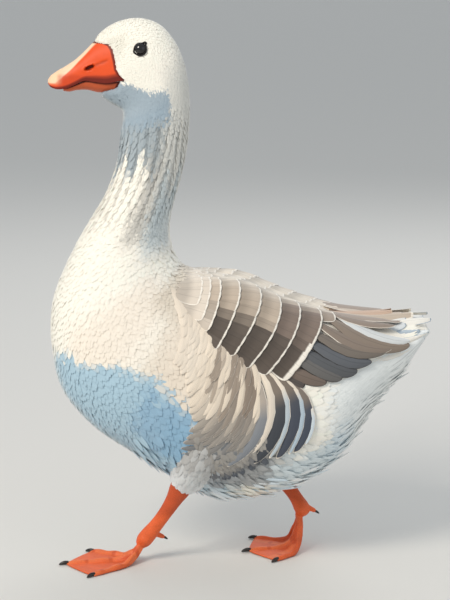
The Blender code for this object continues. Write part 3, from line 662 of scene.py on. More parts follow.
def plumage(name, shaft=0.0, barbs=0.05, pitch=1.6, flanks=1.0, root_shade=0.0):
    """Feather vanes: keratin barbs lying side by side, so a soft sheen, fine slanting lines and
    a rim in the border's colour, narrower by "flanks" along the sides than at the tip, and
    darker by "root_shade" towards the root, a painted shade where the next row lies over them.
    The barbs' pitch in millimetres is coarser than life, or it wouldn't show."""
    made, tree, shader = principled(
        name, Roughness=0.68, Sheen_Weight=0.2, Sheen_Roughness=0.45, IOR=1.45
    )
    ground, border = attribute(tree, "ground"), attribute(tree, "border")
    vane = attribute(tree, "vane").outputs["Vector"]
    across, to_tip, half = add(tree, "SeparateXYZ", {0: vane}).outputs
    off = math_node(tree, "ABSOLUTE", across)
    inward = math_node(tree, "MULTIPLY", math_node(tree, "SUBTRACT", half, off), flanks)
    edge = math_node(tree, "MINIMUM", inward, math_node(tree, "MULTIPLY", to_tip, 0.75))
    frayed = math_node(tree, "MULTIPLY_ADD", noise(tree, 420.0, 2.0), 0.9, -0.45)
    edge = math_node(tree, "ADD", edge, frayed)
    share = math_node(tree, "DIVIDE", edge, math_node(tree, "ADD", border.outputs["Alpha"], 0.02))
    # the rim takes the border's colour: a pale fringe on most feathers, a painted shade line on the
    # lower flight feathers and on the tail's
    pale = ramp(tree, share, 0.75, 1.2, 1.0, 0.0)
    layers = {0: pale, 6: ground.outputs["Color"], 7: border.outputs["Color"]}
    colour = add(tree, "Mix", layers, data_type="RGBA").outputs[2]
    slant = math_node(tree, "MULTIPLY_ADD", off, 1.1, to_tip)
    wave = math_node(tree, "SINE", math_node(tree, "MULTIPLY", slant, 2 * math.pi / pitch))
    quill = ramp(tree, off, 0.25, 0.7, 1.0 - shaft, 1.0, "LINEAR")
    bright = math_node(tree, "MULTIPLY", math_node(tree, "MULTIPLY_ADD", wave, barbs, 1.0), quill)
    # painted shade: darker towards the root, where the next row lies over it
    bright = math_node(tree, "MULTIPLY", bright, ramp(tree, to_tip, 8.0, 22.0, 1.0, 1.0 - root_shade))
    paint(tree, shader, colour, bright, wave, 0.25, 0.0003)
    return made


def down_skin():
    """Skin under the coat: short down over it, so matt, and of the coat's colours, its painted shade
    included.
    """
    made, tree, shader = principled("downy_skin", Roughness=0.85, Sheen_Weight=0.3)
    fluff = noise(tree, 700.0, 3.0)
    bright = math_node(tree, "MULTIPLY_ADD", fluff, 0.25, 0.82)
    paint(tree, shader, attribute(tree, "ground").outputs["Color"], bright, fluff, 0.5, 0.0006)
    return made


def scaled_skin():
    """Bare leg and web: leathery skin in small raised scales, each about 1.8 mm, satin and a
    little moist, darker in the furrows between them."""
    made, tree, shader = principled(
        "scaled_leg_skin", Roughness=0.48, Coat_Weight=0.08, Coat_Roughness=0.25, IOR=1.38
    )
    inputs = {"Vector": add(tree, "TexCoord").outputs["Object"], "Scale": 520.0}
    scales = add(tree, "TexVoronoi", inputs, feature="DISTANCE_TO_EDGE").outputs[0]
    raised = ramp(tree, scales, 0.0, 0.16, 0.0, 1.0)
    mottle = math_node(tree, "MULTIPLY_ADD", noise(tree, 90.0, 3.0), 0.3, 0.87)
    bright = math_node(tree, "MULTIPLY_ADD", raised, 0.16, 0.82)
    bright = math_node(tree, "MULTIPLY", bright, mottle)
    paint(tree, shader, attribute(tree, "ground").outputs["Color"], bright, raised, 0.35, 0.0004)
    return made


def bill_horn():
    """Bill: living horn over bone, satin, with faint growth lines along it."""
    made, tree, shader = principled(
        "bill_horn", Roughness=0.48, Coat_Weight=0.06, Coat_Roughness=0.25, IOR=1.33
    )
    grain = noise(tree, 160.0, 4.0, Distortion=0.6)
    bright = math_node(tree, "MULTIPLY_ADD", grain, 0.16, 0.92)
    paint(tree, shader, attribute(tree, "ground").outputs["Color"], bright, grain, 0.12, 0.0004)
    return made


def eye_glass():
    """Eye: a wet cornea over a dark brown iris and a black pupil."""
    made, tree, shader = principled("wet_eye", Roughness=0.04, Coat_Weight=0.7, IOR=1.4)
    tree.links.new(attribute(tree, "ground").outputs["Color"], shader.inputs["Base Color"])
    return made


def claw_horn():
    """Claws: worn dark horn, satin, streaked along their length."""
    made, tree, shader = principled("claw_horn", Roughness=0.33, IOR=1.54)
    streak = add(tree, "ValToRGB", {"Fac": noise(tree, 350.0, 3.0)})
    for end, code in zip(streak.color_ramp.elements, ("#0E0B0A", "#2C231E")):
        end.color = (*linear(code), 1)
    tree.links.new(streak.outputs["Color"], shader.inputs["Base Color"])
    return made


def lid_skin():
    """Lids: bare dark skin, slightly moist."""
    made, _, shader = principled("lid_skin", Roughness=0.85)
    shader.inputs["Base Color"].default_value = (*linear("#100D0B"), 1)
    return made


SMALL_FEATHER = plumage("small_contour_feathers", barbs=0.03)
COVERT = plumage("covert_feathers", shaft=0.16, barbs=0.06, pitch=1.8, flanks=2.0, root_shade=0.30)
FLIGHT = plumage("flight_feathers", shaft=0.22, barbs=0.06, pitch=2.2, flanks=1.6)
FLANK_PLUME = plumage("flank_feathers", shaft=0.05, barbs=0.05, pitch=2.0, flanks=1.5)
DOWN_SKIN, LEG_SKIN = down_skin(), scaled_skin()
HORN, EYE, CLAW_HORN, LID = bill_horn(), eye_glass(), claw_horn(), lid_skin()


# ---------------------------------------------------------------- legs

# Thighs: x, y outward, z, radius, hip to hock
THIGHS = {
    "left": ((-36.0, 48.0, 188.0, 46.0), (-46.0, 60.0, 156.0, 43.0), (-60.0, 58.0, 128.0, 30.0),
             (-73.0, 48.0, 105.0, 17.0)),
    "right": ((16.0, 50.0, 196.0, 44.0), (25.0, 61.0, 160.0, 41.0), (34.0, 55.0, 127.0, 29.0),
              (42.0, 42.0, 99.0, 17.0)),
}
# Ankle joints: x, y outward, z, heading outward in degrees
ANKLES = {"left": (-121.0, 34.0, 30.0, 9.0), "right": (79.0, 20.0, 53.0, -12.0)}
# The shank, hock to ankle: share of its length, half thickness fore and aft, half width
SHANK = (
    (0.00, 14.0, 11.4), (0.12, 13.2, 10.2), (0.26, 10.8, 7.8), (0.50, 8.8, 6.4), (0.78, 8.8, 6.7),
    (0.94, 10.0, 8.4), (1.05, 9.4, 8.6), (1.12, 6.4, 5.8),
)
KNUCKLE = 9.6  # radius of the ankle
# Name, turn outward in degrees, length
TOES = (("outer", 35.0, 92.0), ("middle", 0.0, 105.0), ("inner", -35.0, 82.0))
TOE_HALF_WIDTH, TOE_HEIGHT = (6.2, 3.6), (9.0, 5.4)  # at the root and at the tip
WEB_TOP = 2.5
WEB_SCOOP = 3.5  # how far its free edge is hollowed between two toes
# How the toes come down: height of the ankle's end, share of their length off the floor, slope
# there in degrees, power of its easing
FOOT_BENDS = {"left": (22.0, 0.46, 42.0, 1.0), "right": (51.0, 0.62, 88.0, 1.8)}
CLAW, HIND_CLAW = (9.5, 2.6, 2.2), (5.5, 1.7, 0.9)  # length, half thickness, droop
HIND_TOE = (18.0, 4.2, 2.6)  # length, half thickness at the root and at the tip
LEG_VOXEL, LEG_SMOOTHING = 0.00095, 5  # metres, fine enough for the web's edge; rounds
FOOT_RAYS, FOOT_STEPS, FOOT_ROOT = 111, 90, 0.04  # the sheet's grid, and the share it starts at
SWELL, JOINTS = 0.09, 3.5  # how much a toe swells at its joints, and their number
BLUNT = 0.93  # share of a toe from which it rounds off
SOLE_HOLLOW = 0.9  # of the web off the floor
SPREAD = 1.17  # the sheet's rays go this much beyond the outer toe's line, for its half width


def tube(path, fore, wide, count):
    """Oval rings along a path, their width across the body."""
    forward = unit(np.gradient(path, axis=0))
    side = unit(np.cross(forward, np.cross([0.0, 1.0, 0.0], forward)))
    up = np.cross(side, forward)
    turns = np.linspace(0, 2 * math.pi, count, endpoint=False)[None, :, None]
    fore, wide = (np.asarray(x, float)[:, None, None] for x in (fore, wide))
    return path[:, None] + up[:, None] * fore * np.cos(turns) + side[:, None] * wide * np.sin(turns)


def running(values):
    """Running total of a function over equal steps from 0 to 1, by the trapezium rule."""
    return np.concatenate([[0], np.cumsum((values[1:] + values[:-1]) / 2)]) / (len(values) - 1)


def foot_bend(side, share):
    """Run along the floor, height and slope of the toes as they come down, at a share of them."""
    height, airborne, slope, power = FOOT_BENDS[side]
    fine = np.linspace(0, 1, 401)
    angle = math.radians(slope) * np.clip(1 - (fine / airborne) ** power, 0, None)
    drop = running(np.sin(angle))
    return (
        np.interp(share, fine, running(np.cos(angle))),
        height * (1 - np.interp(share, fine, drop) / drop[-1]),
        np.interp(share, fine, angle),
    )


def foot_frame(side, sign):
    """Point of the floor under the ankle, and the foot's ways forward and outward."""
    x, y, _, heading = ANKLES[side]
    turn = math.radians(heading) * sign
    forward = np.array([-math.cos(turn), -math.sin(turn), 0.0])
    outer = sign * np.array([math.sin(turn), -math.cos(turn), 0.0])
    return np.array([x, -sign * y, 0.0]), forward, outer


def foot_place(side, sign, angle, share, length, height):
    """A point of the foot: a share of the way along a ray of that angle and length, and a height
    off the sole. The rays spread as if flat while the foot bends."""
    origin, forward, outer = foot_frame(side, sign)
    run, level, slope = foot_bend(side, share)
    ahead = run * length * np.cos(angle) + height * np.sin(slope)
    beside = share * length * np.sin(angle)
    above = np.stack([0 * ahead, 0 * ahead, level + height * np.cos(slope)], -1)
    return origin + ahead[..., None] * forward + beside[..., None] * outer + above


def blunted(share, start, power=1.0, least=0.0):
    """1 up to a share of the length, then rounding off towards its end."""
    return np.sqrt(np.clip(1 - (np.clip(share - start, 0, 1) / (1 - start)) ** 2 * power, least, 1))


def foot_sheet(side, sign):
    """Toes and web as one closed sheet over rays from the ankle: its top is the web's height, or
    a toe's rounded height within a toe's half width of its line; its sole is flat under toes and
    a little hollow under the web. The free edge is scooped between the toes, whose joints swell."""
    lines, lengths = np.radians([toe[1] for toe in TOES]), np.array([toe[2] for toe in TOES])
    outermost, reach = lines[0], lines[0] * SPREAD
    angle = np.linspace(reach, -reach, FOOT_RAYS)[None, :]
    share = np.linspace(FOOT_ROOT, 1.0, FOOT_STEPS)[:, None]
    order = np.argsort(lines)
    length = np.interp(angle, lines[order], lengths[order])
    gap = np.abs(angle[..., None] - lines).min(-1)
    scoop = np.sin(math.pi * np.clip(gap / (outermost / 2) / 2, 0, 0.5)) * share**4
    length = length - WEB_SCOOP * scoop
    swell = 1 + SWELL * np.cos(share * JOINTS * 2 * math.pi)
    half, tall = (
        (root + (tip - root) * share) * swell for root, tip in (TOE_HALF_WIDTH, TOE_HEIGHT)
    )
    blunt = blunted(share, BLUNT, 0.75)
    # between the outer and the inner toe
    across = np.clip(gap * share * length / half, 0, 1)
    top = WEB_TOP + (tall * blunt - WEB_TOP) * np.sqrt(np.clip(1 - across**2, 0, 1)) ** 1.2
    sole = SOLE_HOLLOW * ease(across * 1.4 - 0.4)
    # outside them the sheet stops at the toe's own half width
    past = np.abs(angle) - outermost
    edge = np.clip(half / np.maximum(share * length, 1e-6), 0, reach - outermost)
    side_angle = np.sign(angle) * (outermost + past * edge / (reach - outermost))
    beyond = past > 0
    angle = np.where(beyond, side_angle, angle)
    across = np.clip((np.abs(angle) - outermost) * share * length / half, 0, 1)
    top = np.where(beyond, (0.3 + 0.7 * np.sqrt(1 - across**2)) * tall * blunt, top)
    sole = np.where(beyond, 0.25 * tall * across**2, sole)
    share, length = np.broadcast_arrays(share, length, angle)[:2]
    upper, lower = (foot_place(side, sign, angle, share, length, height) for height in (top, sole))
    return np.concatenate([upper, lower[:, ::-1]], axis=1)


def leg_line(side, sign):
    """Middles of the hock and the ankle."""
    hock = np.array(THIGHS[side][-1][:3]) * (1, -sign, 1)
    x, y, z, _ = ANKLES[side]
    return hock, np.array([x, -sign * y, z])


def hind_root(side, sign):
    """Root of the hind toe on the shank, and its way back."""
    hock, ankle = leg_line(side, sign)
    _, forward, outer = foot_frame(side, sign)
    root = hock + (ankle - hock) * 0.90 - forward * 5.0 - outer * 2.0
    return root, unit(-forward * 0.86 - outer * 0.2 - np.array([0.0, 0.0, 0.45]))


def knuckle_rings(ankle):
    """The ankle's ball, its poles to the sides."""
    polar = np.linspace(-math.pi / 2 * 0.97, math.pi / 2 * 0.97, 20)
    middle = ankle + np.array([0.0, 1.0, 0.0]) * (KNUCKLE * np.sin(polar))[:, None]
    turns = np.linspace(0, 2 * math.pi, 28, endpoint=False)
    circle = np.stack([np.cos(turns), 0 * turns, np.sin(turns)], -1)
    return middle[:, None] + (KNUCKLE * np.cos(polar))[:, None, None] * circle


def leg_shells(side, sign):
    """Shank, ankle, hind toe, and toes with their web, as overlapping closed shells."""
    hock, ankle = leg_line(side, sign)
    table = np.array(SHANK)
    share = np.linspace(-0.12, table[-1, 0], 60)
    size = spline(table[:, 0], table[:, 1:], np.clip(share, 0, None))
    bow = np.array([3.0, 0.0, 0.0]) * np.sin(math.pi * share[:, None])
    path = hock + (ankle - hock) * share[:, None] + bow
    yield shell(tube(path, size[:, 0], size[:, 1], 36))
    yield shell(knuckle_rings(ankle))
    root, back = hind_root(side, sign)
    length, thick, thin = HIND_TOE
    steps = np.linspace(0, 1, 16)
    size = (thick + (thin - thick) * steps) * blunted(steps, 0.8, least=0.05)
    yield shell(tube(root + back * length * steps[:, None], size, size, 18))
    yield shell(foot_sheet(side, sign))


def merged(name, shells):
    """One closed surface round overlapping shells, remeshed in voxels and smoothed."""
    points, faces, count = [], [], 0
    for p, quads, triangles in shells:
        points.append(p)
        faces += [tuple(f) for f in (quads + count).tolist()]
        faces += [tuple(f) for f in (triangles + count).tolist()]
        count += len(p)
    mesh = bpy.data.meshes.new(name)
    mesh.from_pydata((np.concatenate(points) * MM).tolist(), [], faces)
    obj = bpy.data.objects.new(name, mesh)
    bpy.context.scene.collection.objects.link(obj)
    change = obj.modifiers.new("voxels", "REMESH")
    change.mode, change.voxel_size = "VOXEL", LEG_VOXEL
    soft = obj.modifiers.new("smooth", "SMOOTH")
    soft.factor, soft.iterations = 0.5, LEG_SMOOTHING
    bpy.context.view_layer.update()
    done = obj.evaluated_get(bpy.context.evaluated_depsgraph_get()).to_mesh()
    out = np.empty(len(done.vertices) * 3)
    done.vertices.foreach_get("co", out)
    loops = np.empty(len(done.loops), int)
    done.loops.foreach_get("vertex_index", loops)
    assert len(loops) == 4 * len(done.polygons)
    bpy.data.objects.remove(obj)
    return out.reshape(-1, 3) / MM, loops.reshape(-1, 4)


# leg colours: orange, a deeper orange also laid as painted shade, and a paler orange laid as painted
# highlight
ORANGE, DEEP_ORANGE_AND_SHADE, TOE_HIGHLIGHT = linear("#EC6834"), linear("#8A2A14"), linear("#F0925C")


def leg_colour(side, sign, p):
    """Orange, deeper at the joints and in the web's root; darker as painted shade on the sole and on
    the shank below the thigh feathers; paler as painted highlight on the toes' tops.
    """
    origin, forward, outer = foot_frame(side, sign)
    flat = p - origin
    ahead, beside = flat @ forward, flat @ outer
    far = np.hypot(ahead, beside)
    angle = np.degrees(np.arctan2(beside, np.maximum(ahead, 1e-6)))
    off = np.abs(angle[:, None] - np.array([toe[1] for toe in TOES])).min(1) * far * math.pi / 180
    low = ease((26 - p[:, 2]) / 10)
    toe = low * ease((7.0 - off) / 5)
    web = low * (1 - toe)
    colour = np.tile(ORANGE, (len(p), 1))
    joint = toe * window(far % 30, 13, 16, 2.0)
    for shade, mix in (
        (DEEP_ORANGE_AND_SHADE, 0.35 * web * ease((70 - far) / 60)),
        (DEEP_ORANGE_AND_SHADE, 0.30 * joint),
        # painted highlight on the toes
        (TOE_HIGHLIGHT, 0.30 * toe * (1 - joint)),
        # painted shade on the sole, where it meets the floor
        (DEEP_ORANGE_AND_SHADE, 0.55 * ease((0.9 - p[:, 2]) / 0.7)),
        # painted shade on the shank below the thigh feathers
        (DEEP_ORANGE_AND_SHADE, 0.40 * window(p[:, 2], 70, 140, 14)),
    ):
        colour += (shade - colour) * mix[:, None]
    return colour


def claw_piece(name, node, root, way, length, half, droop):
    """A claw: a cone hooked down by the square of its length, its root sunk in the toe."""
    share = np.linspace(-0.28, 1.0, 16)
    ahead = np.clip(share, 0, 1)
    path = root + way * (share * length)[:, None]
    path[:, 2] -= droop * ahead**2
    size = half * np.sqrt(np.clip(1 - ahead**1.7, 0.004, 1)) * np.where(share < 0, 0.9, 1)
    points, quads, triangles = shell(tube(path, size, size * 0.92, 16))
    piece = mesh_object(name, points, [quads, triangles], CLAW_HORN, "claw_horn")
    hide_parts(node)


def make_claws():
    for side, sign in SIDES:
        _, forward, outer = foot_frame(side, sign)
        for toe, degrees, length in TOES:
            angle = math.radians(degrees)
            tip = foot_place(side, sign, np.array(angle), np.array(1.0), length - 1.0, np.array(3.3))
            way = math.cos(angle) * forward + math.sin(angle) * outer
            claw_piece(f"{side}_{toe}_claw_horn", f"{side}_{toe}_claw", tip, way, *CLAW)
        root, back = hind_root(side, sign)
        tip = root + back * (HIND_TOE[0] - 1.0)
        claw_piece(f"{side}_hind_claw_horn", f"{side}_hind_claw", tip, back, *HIND_CLAW)


HOCK_OVERLAP = 8.0  # how far thigh feathers may hang below the hock


def thigh(side, sign):
    """The thigh as a surface: distance up from the hock, and turn round the bone from its back."""
    table = np.array(THIGHS[side]) * (1, -sign, 1, 1)
    knots = np.arange(len(table))
    length = np.linalg.norm(np.diff(table[:, :3], axis=0), axis=1).sum()

    def surface(up, turn, lift=0.0):
        up, turn, lift = np.broadcast_arrays(*(np.asarray(x, float) for x in (up, turn, lift)))
        place = (1 - np.maximum(up, -HOCK_OVERLAP) / length) * (len(table) - 1)
        row, ahead, behind = (spline(knots, table, place + step) for step in (0.0, 0.02, -0.02))
        way = unit((ahead - behind)[..., :3])
        across = unit(np.cross(way, np.cross([0.0, 1.0, 0.0], way)))
        front = np.cross(across, way)
        out = across * np.sin(turn)[..., None] - front * np.cos(turn)[..., None]
        return row[..., :3] + (row[..., 3] + lift)[..., None] * out

    return surface, length


# ---------------------------------------------------------------- bill and eyes

# Bill: x, z of the ridge, z of the mouth, half width
UPPER_BILL = (
    (-136.0, 676.0, 605.0, 29.5), (-150.0, 669.0, 603.0, 27.0), (-164.0, 660.5, 600.5, 23.6),
    (-181.5, 649.0, 602.0, 18.6), (-191.5, 639.0, 603.0, 16.8), (-204.5, 627.5, 597.5, 15.6),
    (-213.0, 621.8, 594.0, 15.4), (-221.5, 616.5, 592.5, 14.8), (-230.0, 611.0, 593.5, 12.2),
    (-235.0, 607.0, 596.0, 8.4), (-237.6, 603.0, 599.0, 3.0),
)
LOWER_BILL = (
    (-136.0, 592.0, 603.0, 24.0), (-150.0, 589.5, 601.5, 22.4), (-164.0, 588.0, 599.8, 19.6),
    (-176.0, 588.0, 600.7, 16.8), (-190.0, 591.0, 602.0, 14.8), (-203.0, 590.5, 597.0, 13.4),
    (-212.0, 588.8, 593.4, 11.5), (-218.5, 589.6, 592.0, 6.5),
)
# Where the feathers stop, in side view: z, x
UPPER_MARGIN = (
    (604.0, -142.0), (605.6, -142.5), (610.5, -148.5), (617.0, -152.0), (627.0, -153.6),
    (641.0, -157.0), (646.5, -160.5), (648.8, -167.0), (650.5, -182.0), (656.0, -184.0),
)
LOWER_MARGIN = (
    (586.6, -173.0), (587.8, -165.0), (589.8, -156.5), (592.5, -152.3), (597.0, -151.0),
    (601.5, -148.0), (604.0, -145.0),
)
MOUTH_HEIGHT = 602.5  # where the two margins meet
MOUTH_GAP = -0.5  # the lower bill's edge lies inside the upper's
MOUTH_VAULT, LOWER_VAULT = 1.4, 0.42  # hollow of the palate and of the lower bill
MOUTH_WIDTH = 0.86  # of the mouth's side, as a share of the bill's
DOME = 0.75  # power of the sine of the angle over the bill: under 1 it is fuller than round
BILL_COLUMNS, BILL_ROWS, MOUTH_COLUMNS = 97, 130, 9
MARGIN_LINE = 3.4  # width of the dark line where the feathers stop
NOSTRIL = (-185.5, 618.8, 6.4, 2.5, 0.42)  # x, z, half length, half height, tilt up to the rear
BILL_ORANGE, BILL_DEEP, BILL_RED = linears(("#E2501C", "#5A120A", "#BC3A18"))
# the ridge's pale colour is a painted highlight; the nail's is its own paler horn, made paler still as
# painted highlight
CULMEN_HIGHLIGHT, NAIL_AND_HIGHLIGHT, MANDIBLE = linears(("#F5DDBB", "#F6CDA4", "#BE5731"))
# Edge of the painted highlight along the ridge: distance before the origin, sine of the angle over the
# dome
RIDGE_HIGHLIGHT_EDGE = ((150, 1.02), (165, 0.93), (200, 0.70), (218, 0.45), (228, 0.20))


def bill_start(place, table, margin, angle):
    """x on the feather margin for each column, found by halving."""
    z_margin, x_margin = np.array(margin).T
    front, rear = np.full(len(angle), table[-1, 0]), np.full(len(angle), table[0, 0])
    for _ in range(40):
        x = (front + rear) / 2
        inside = x > np.interp(place(x, angle)[1], z_margin, x_margin)
        rear, front = np.where(inside, x, rear), np.where(inside, front, x)
    return (front + rear) / 2


def nostril(x, z):
    """Depth of the nostril's pit, height of its rim and depth of the groove before it, 0 to 1."""
    x0, z0, length, height, tilt = NOSTRIL
    dx, dz = x - x0, z - z0
    c, s = math.cos(tilt), math.sin(tilt)
    far = np.hypot((dx * c + dz * s) / length, (dz * c - dx * s) / height)
    rim = np.exp(-((far - 1.45) / 0.28) ** 2)
    groove = window(z - (z0 + dx * tilt), -0.6, 0.6, 1.6) * window(x, x0 + 9, x0 + 20, 5)
    return ease((1.25 - far) / 0.6), rim, groove


def upper_bill_relief(angle, x, y, z):
    """y and z of the upper bill with its nostril, the lip along its edge and the nail's rise."""
    pit, rim, groove = nostril(x, z)
    lip = np.exp(-((np.minimum(angle, math.pi - angle) / 0.13) ** 2))
    y = y * (1 - 0.30 * pit + 0.02 * rim) * (1 - 0.03 * groove) * (1 + 0.03 * lip)
    return y, z + 0.5 * window(x, -240, -222.0, 2.0) * np.sin(angle) ** 2


def bill_washes(angle, start, x, z, lower):
    """Colours laid over a bill half's own, each with its strength over the outer grid. A painted
    highlight runs along the ridge and lies over the nail's own paler horn.
    """
    if not lower:
        pit, _, groove = nostril(x, z)
        # painted highlight along the ridge
        yield CULMEN_HIGHLIGHT, 0.9 * ease((np.sin(angle) - read(RIDGE_HIGHLIGHT_EDGE, -x)) / 0.10)
        # the nail's own paler horn with a painted highlight
        yield NAIL_AND_HIGHLIGHT, 0.6 * ease((-217.5 - x) / 7) * ease((z - 596) / 6)
        yield BILL_RED, 0.55 * window(z, 590, 607, 6) * window(x, -222, -140, 6)
        yield BILL_DEEP, 0.95 * pit
        yield BILL_DEEP, 0.35 * groove
    yield BILL_DEEP, 0.9 * ease((0.10 - np.minimum(angle, math.pi - angle)) / 0.06)
    yield BILL_DEEP, 0.9 * ease((MARGIN_LINE - np.abs(x - start)) / 1.0)


def bill_piece(name, node, table, margin, lower):
    """Half a bill: each column is an angle over the dome, a power of its sine, and runs from the
    feather margin to the tip. The mouth's side is a shallow vault."""
    table = np.array(table)
    angle = np.linspace(0, math.pi, BILL_COLUMNS)
    inset = MOUTH_GAP if lower else 0

    def place(x, a):
        far, mouth, half = np.moveaxis(spline(-table[:, 0], table[:, 1:], -x), -1, 0)
        mouth = mouth - inset
        return half * np.cos(a), mouth + (far - mouth) * np.abs(np.sin(a)) ** DOME

    start = bill_start(place, table, margin, angle)
    share = np.linspace(0, 1, BILL_ROWS)[:, None] ** 0.9
    x = start + (table[-1, 0] - start) * share
    y, z = place(x, angle)
    mouth = spline(-table[:, 0], table[:, 1:], -x[:, :1])[..., 1] - inset
    if not lower:
        y, z = upper_bill_relief(angle, x, y, z)
    half = np.abs(y[:, :1])
    flat = np.linspace(-MOUTH_WIDTH, MOUTH_WIDTH, MOUTH_COLUMNS) * half
    vault = (LOWER_VAULT if lower else MOUTH_VAULT) * (1 - (flat / (half + 1e-6)) ** 2)
    floor = np.stack([np.broadcast_to(x[:, :1], flat.shape), flat, mouth + vault], -1)
    rings = np.concatenate([np.stack([x, y, z], -1), floor], axis=1)
    points, quads, triangles = shell(rings)
    colour = np.tile(MANDIBLE if lower else BILL_ORANGE, (len(points), 1))
    colour[:-2].reshape(rings.shape)[:, len(angle) :] = BILL_DEEP
    for shade, strength in bill_washes(angle, start, x, z, lower):
        mix = np.zeros(rings.shape[:2])
        mix[:, : len(angle)] = strength
        colour = mixed(colour, shade, np.append(mix.ravel(), [mix[0].mean(), mix[-1].mean()]))
    piece = mesh_object(
        name, points, [quads, triangles], HORN, "bill_orange", marks=ground_mark(colour), sharp=75
    )
    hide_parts(node)


def margin_x(z):
    """x of the edge of the feathers round the bill's root, at a height."""
    rows = (np.interp(z, *np.array(margin).T) for margin in (LOWER_MARGIN, UPPER_MARGIN))
    return np.where(z < MOUTH_HEIGHT, *rows)


# The eyes' middle in side view, their radius, and how far they stand out of the head
EYE_X, EYE_Z, EYE_RADIUS, EYE_PROUD = -123.0, 641.5, 8.6, 3.2
EYE_TURN = math.radians(65)  # about where it lies round the head
EYE_BLACK, IRIS = linears(("#070505", "#0D0806"))
LID_RADIUS, LID_SIZE = 7.1, (1.1, 0.9)  # the opening's, and half width and height of the lid
# Corners of the lids: direction in degrees, how far they are drawn out, width in radians
LID_CORNERS = ((52, 3.4, 0.24), (205, 1.1, 0.3))


def head_place(x, z):
    """Distance and turn of the point of the head's left side at x, z, by Newton's method."""
    t, turn = np.full(len(x), at("crown", 0.5)), np.full(len(x), EYE_TURN)
    for _ in range(12):
        here = section(t, turn)[..., [0, 2]] - np.stack([x, z], -1)
        along = (section(t + 0.5, turn) - section(t - 0.5, turn))[..., [0, 2]]
        around = (section(t, turn + 0.01) - section(t, turn - 0.01))[..., [0, 2]] / 0.02
        area = along[..., 0] * around[..., 1] - along[..., 1] * around[..., 0]
        t -= np.clip((here[..., 0] * around[..., 1] - here[..., 1] * around[..., 0]) / area, -9, 9)
        turn -= np.clip((along[..., 0] * here[..., 1] - along[..., 1] * here[..., 0]) / area, -0.2, 0.2)
    return t, turn


def eye_y():
    """How far out the eye's middle lies."""
    t, turn = head_place(np.array([EYE_X]), np.array([EYE_Z]))
    return float(section(t, turn)[0, 1]) + EYE_RADIUS - EYE_PROUD


def make_eyeball(side, sign):
    """A ball whose pole looks out; rings round the pole hold pupil, iris and dark rim."""
    polar = np.concatenate([np.linspace(0.03, 1.1, 34), np.linspace(1.2, math.pi - 0.05, 16)])
    turns = np.linspace(0, 2 * math.pi, 48, endpoint=False)
    wide = EYE_RADIUS * np.sin(polar)[:, None]
    out = sign * (eye_y() - EYE_RADIUS * np.cos(polar)[:, None] + 0 * turns)
    rings = np.stack([EYE_X + wide * np.cos(turns), out, EYE_Z + wide * np.sin(turns)], -1)
    points, quads, triangles = shell(rings)
    degrees = np.degrees(np.append(np.repeat(polar, len(turns)), [0.0, math.pi]))
    colour = mixed(EYE_BLACK, IRIS, window(degrees, 25, 42, 2.5))
    ball = mesh_object(
        f"{side}_eyeball", points, [quads, triangles], EYE, "eye_dark",
        marks=ground_mark(colour), sharp=0,
    )
    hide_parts(f"{side}_eye")


def make_lids(side, sign):
    """The lids are a tube along a circle on the head, drawn out to a corner behind and before."""
    turn = np.linspace(0, 2 * math.pi, 120, endpoint=False)
    reach = LID_RADIUS
    for corner, drawn, width in LID_CORNERS:
        off = np.angle(np.exp(1j * (turn - math.radians(corner))))
        reach = reach + drawn * np.exp(-((off / width) ** 2))
    x, z = EYE_X + reach * np.cos(turn), EYE_Z + reach * np.sin(turn)
    t, around = head_place(x, z)
    path = body(t, around, 0.1) * (1, sign, 1)
    outward = unit(body(t, around, 2.0) * (1, sign, 1) - path)
    ahead = unit(np.roll(path, -1, 0) - np.roll(path, 1, 0))
    flat = np.cross(outward, ahead)
    ring = np.linspace(0, 2 * math.pi, 12, endpoint=False)[None, :, None]
    wide, tall = LID_SIZE
    rings = path[:, None] + wide * flat[:, None] * np.cos(ring) + tall * outward[:, None] * np.sin(ring)
    quads = grid_faces(len(path) + 1, 12) % (len(path) * 12)
    if sign < 0:
        quads = quads[:, ::-1]
    mesh_object(f"{side}_eyelids", rings, [quads], LID, "eye_dark", sharp=0)


def make_eyes():
    for side, sign in SIDES:
        make_eyeball(side, sign)
        make_lids(side, sign)


# ---------------------------------------------------------------- skin

SKIN_GRID, THIGH_GRID = (290, 124), (40, 48)  # rows along, columns round
SKIN_END = 8.0  # the tail's last millimetres are feathers alone
# Depth of the coat over the skin along the body
COAT_DEPTH = (
    (8, 7.4), (19, 5.0), (42, 4.5), (110, 3.5), (430, 4.5), (600, 4.0), (700, 3.0), (780, 2.0),
    (850, 1.0),
)
THIGH_COAT, THIGH_WHITE = 3.5, linear("#DDE0DF")  # depth of its coat, colour of its skin
MOUTH_CORNER = 603.0  # its height
BILL_DEPTH = (8.0, 3.5)  # how far the skin passes under the lower bill and the upper


def trunk_shell():
    """The body's own surface, with its wings, sunk by the depth of the coat and of the bill."""
    rows, columns = SKIN_GRID
    t = np.linspace(SKIN_END, BODY_LENGTH, rows)
    turns = np.linspace(0, 2 * math.pi, columns, endpoint=False)
    turns = (turns + math.pi) % (2 * math.pi) - math.pi
    outside = section(t[:, None], turns[None, :])
    under_bill = ease((margin_x(outside[..., 2]) + 0.5 - outside[..., 0]) / 2.0)
    deep = np.where(outside[..., 2] < MOUTH_CORNER, *BILL_DEPTH) * under_bill
    points, *faces = shell(cloak(t[:, None], turns[None, :], -read(COAT_DEPTH, t)[:, None] - deep))
    colour = ground_colour(np.repeat(t, len(turns)), np.tile(turns, len(t)))
    return points, faces, np.concatenate([colour, colour[:1], colour[-1:]])


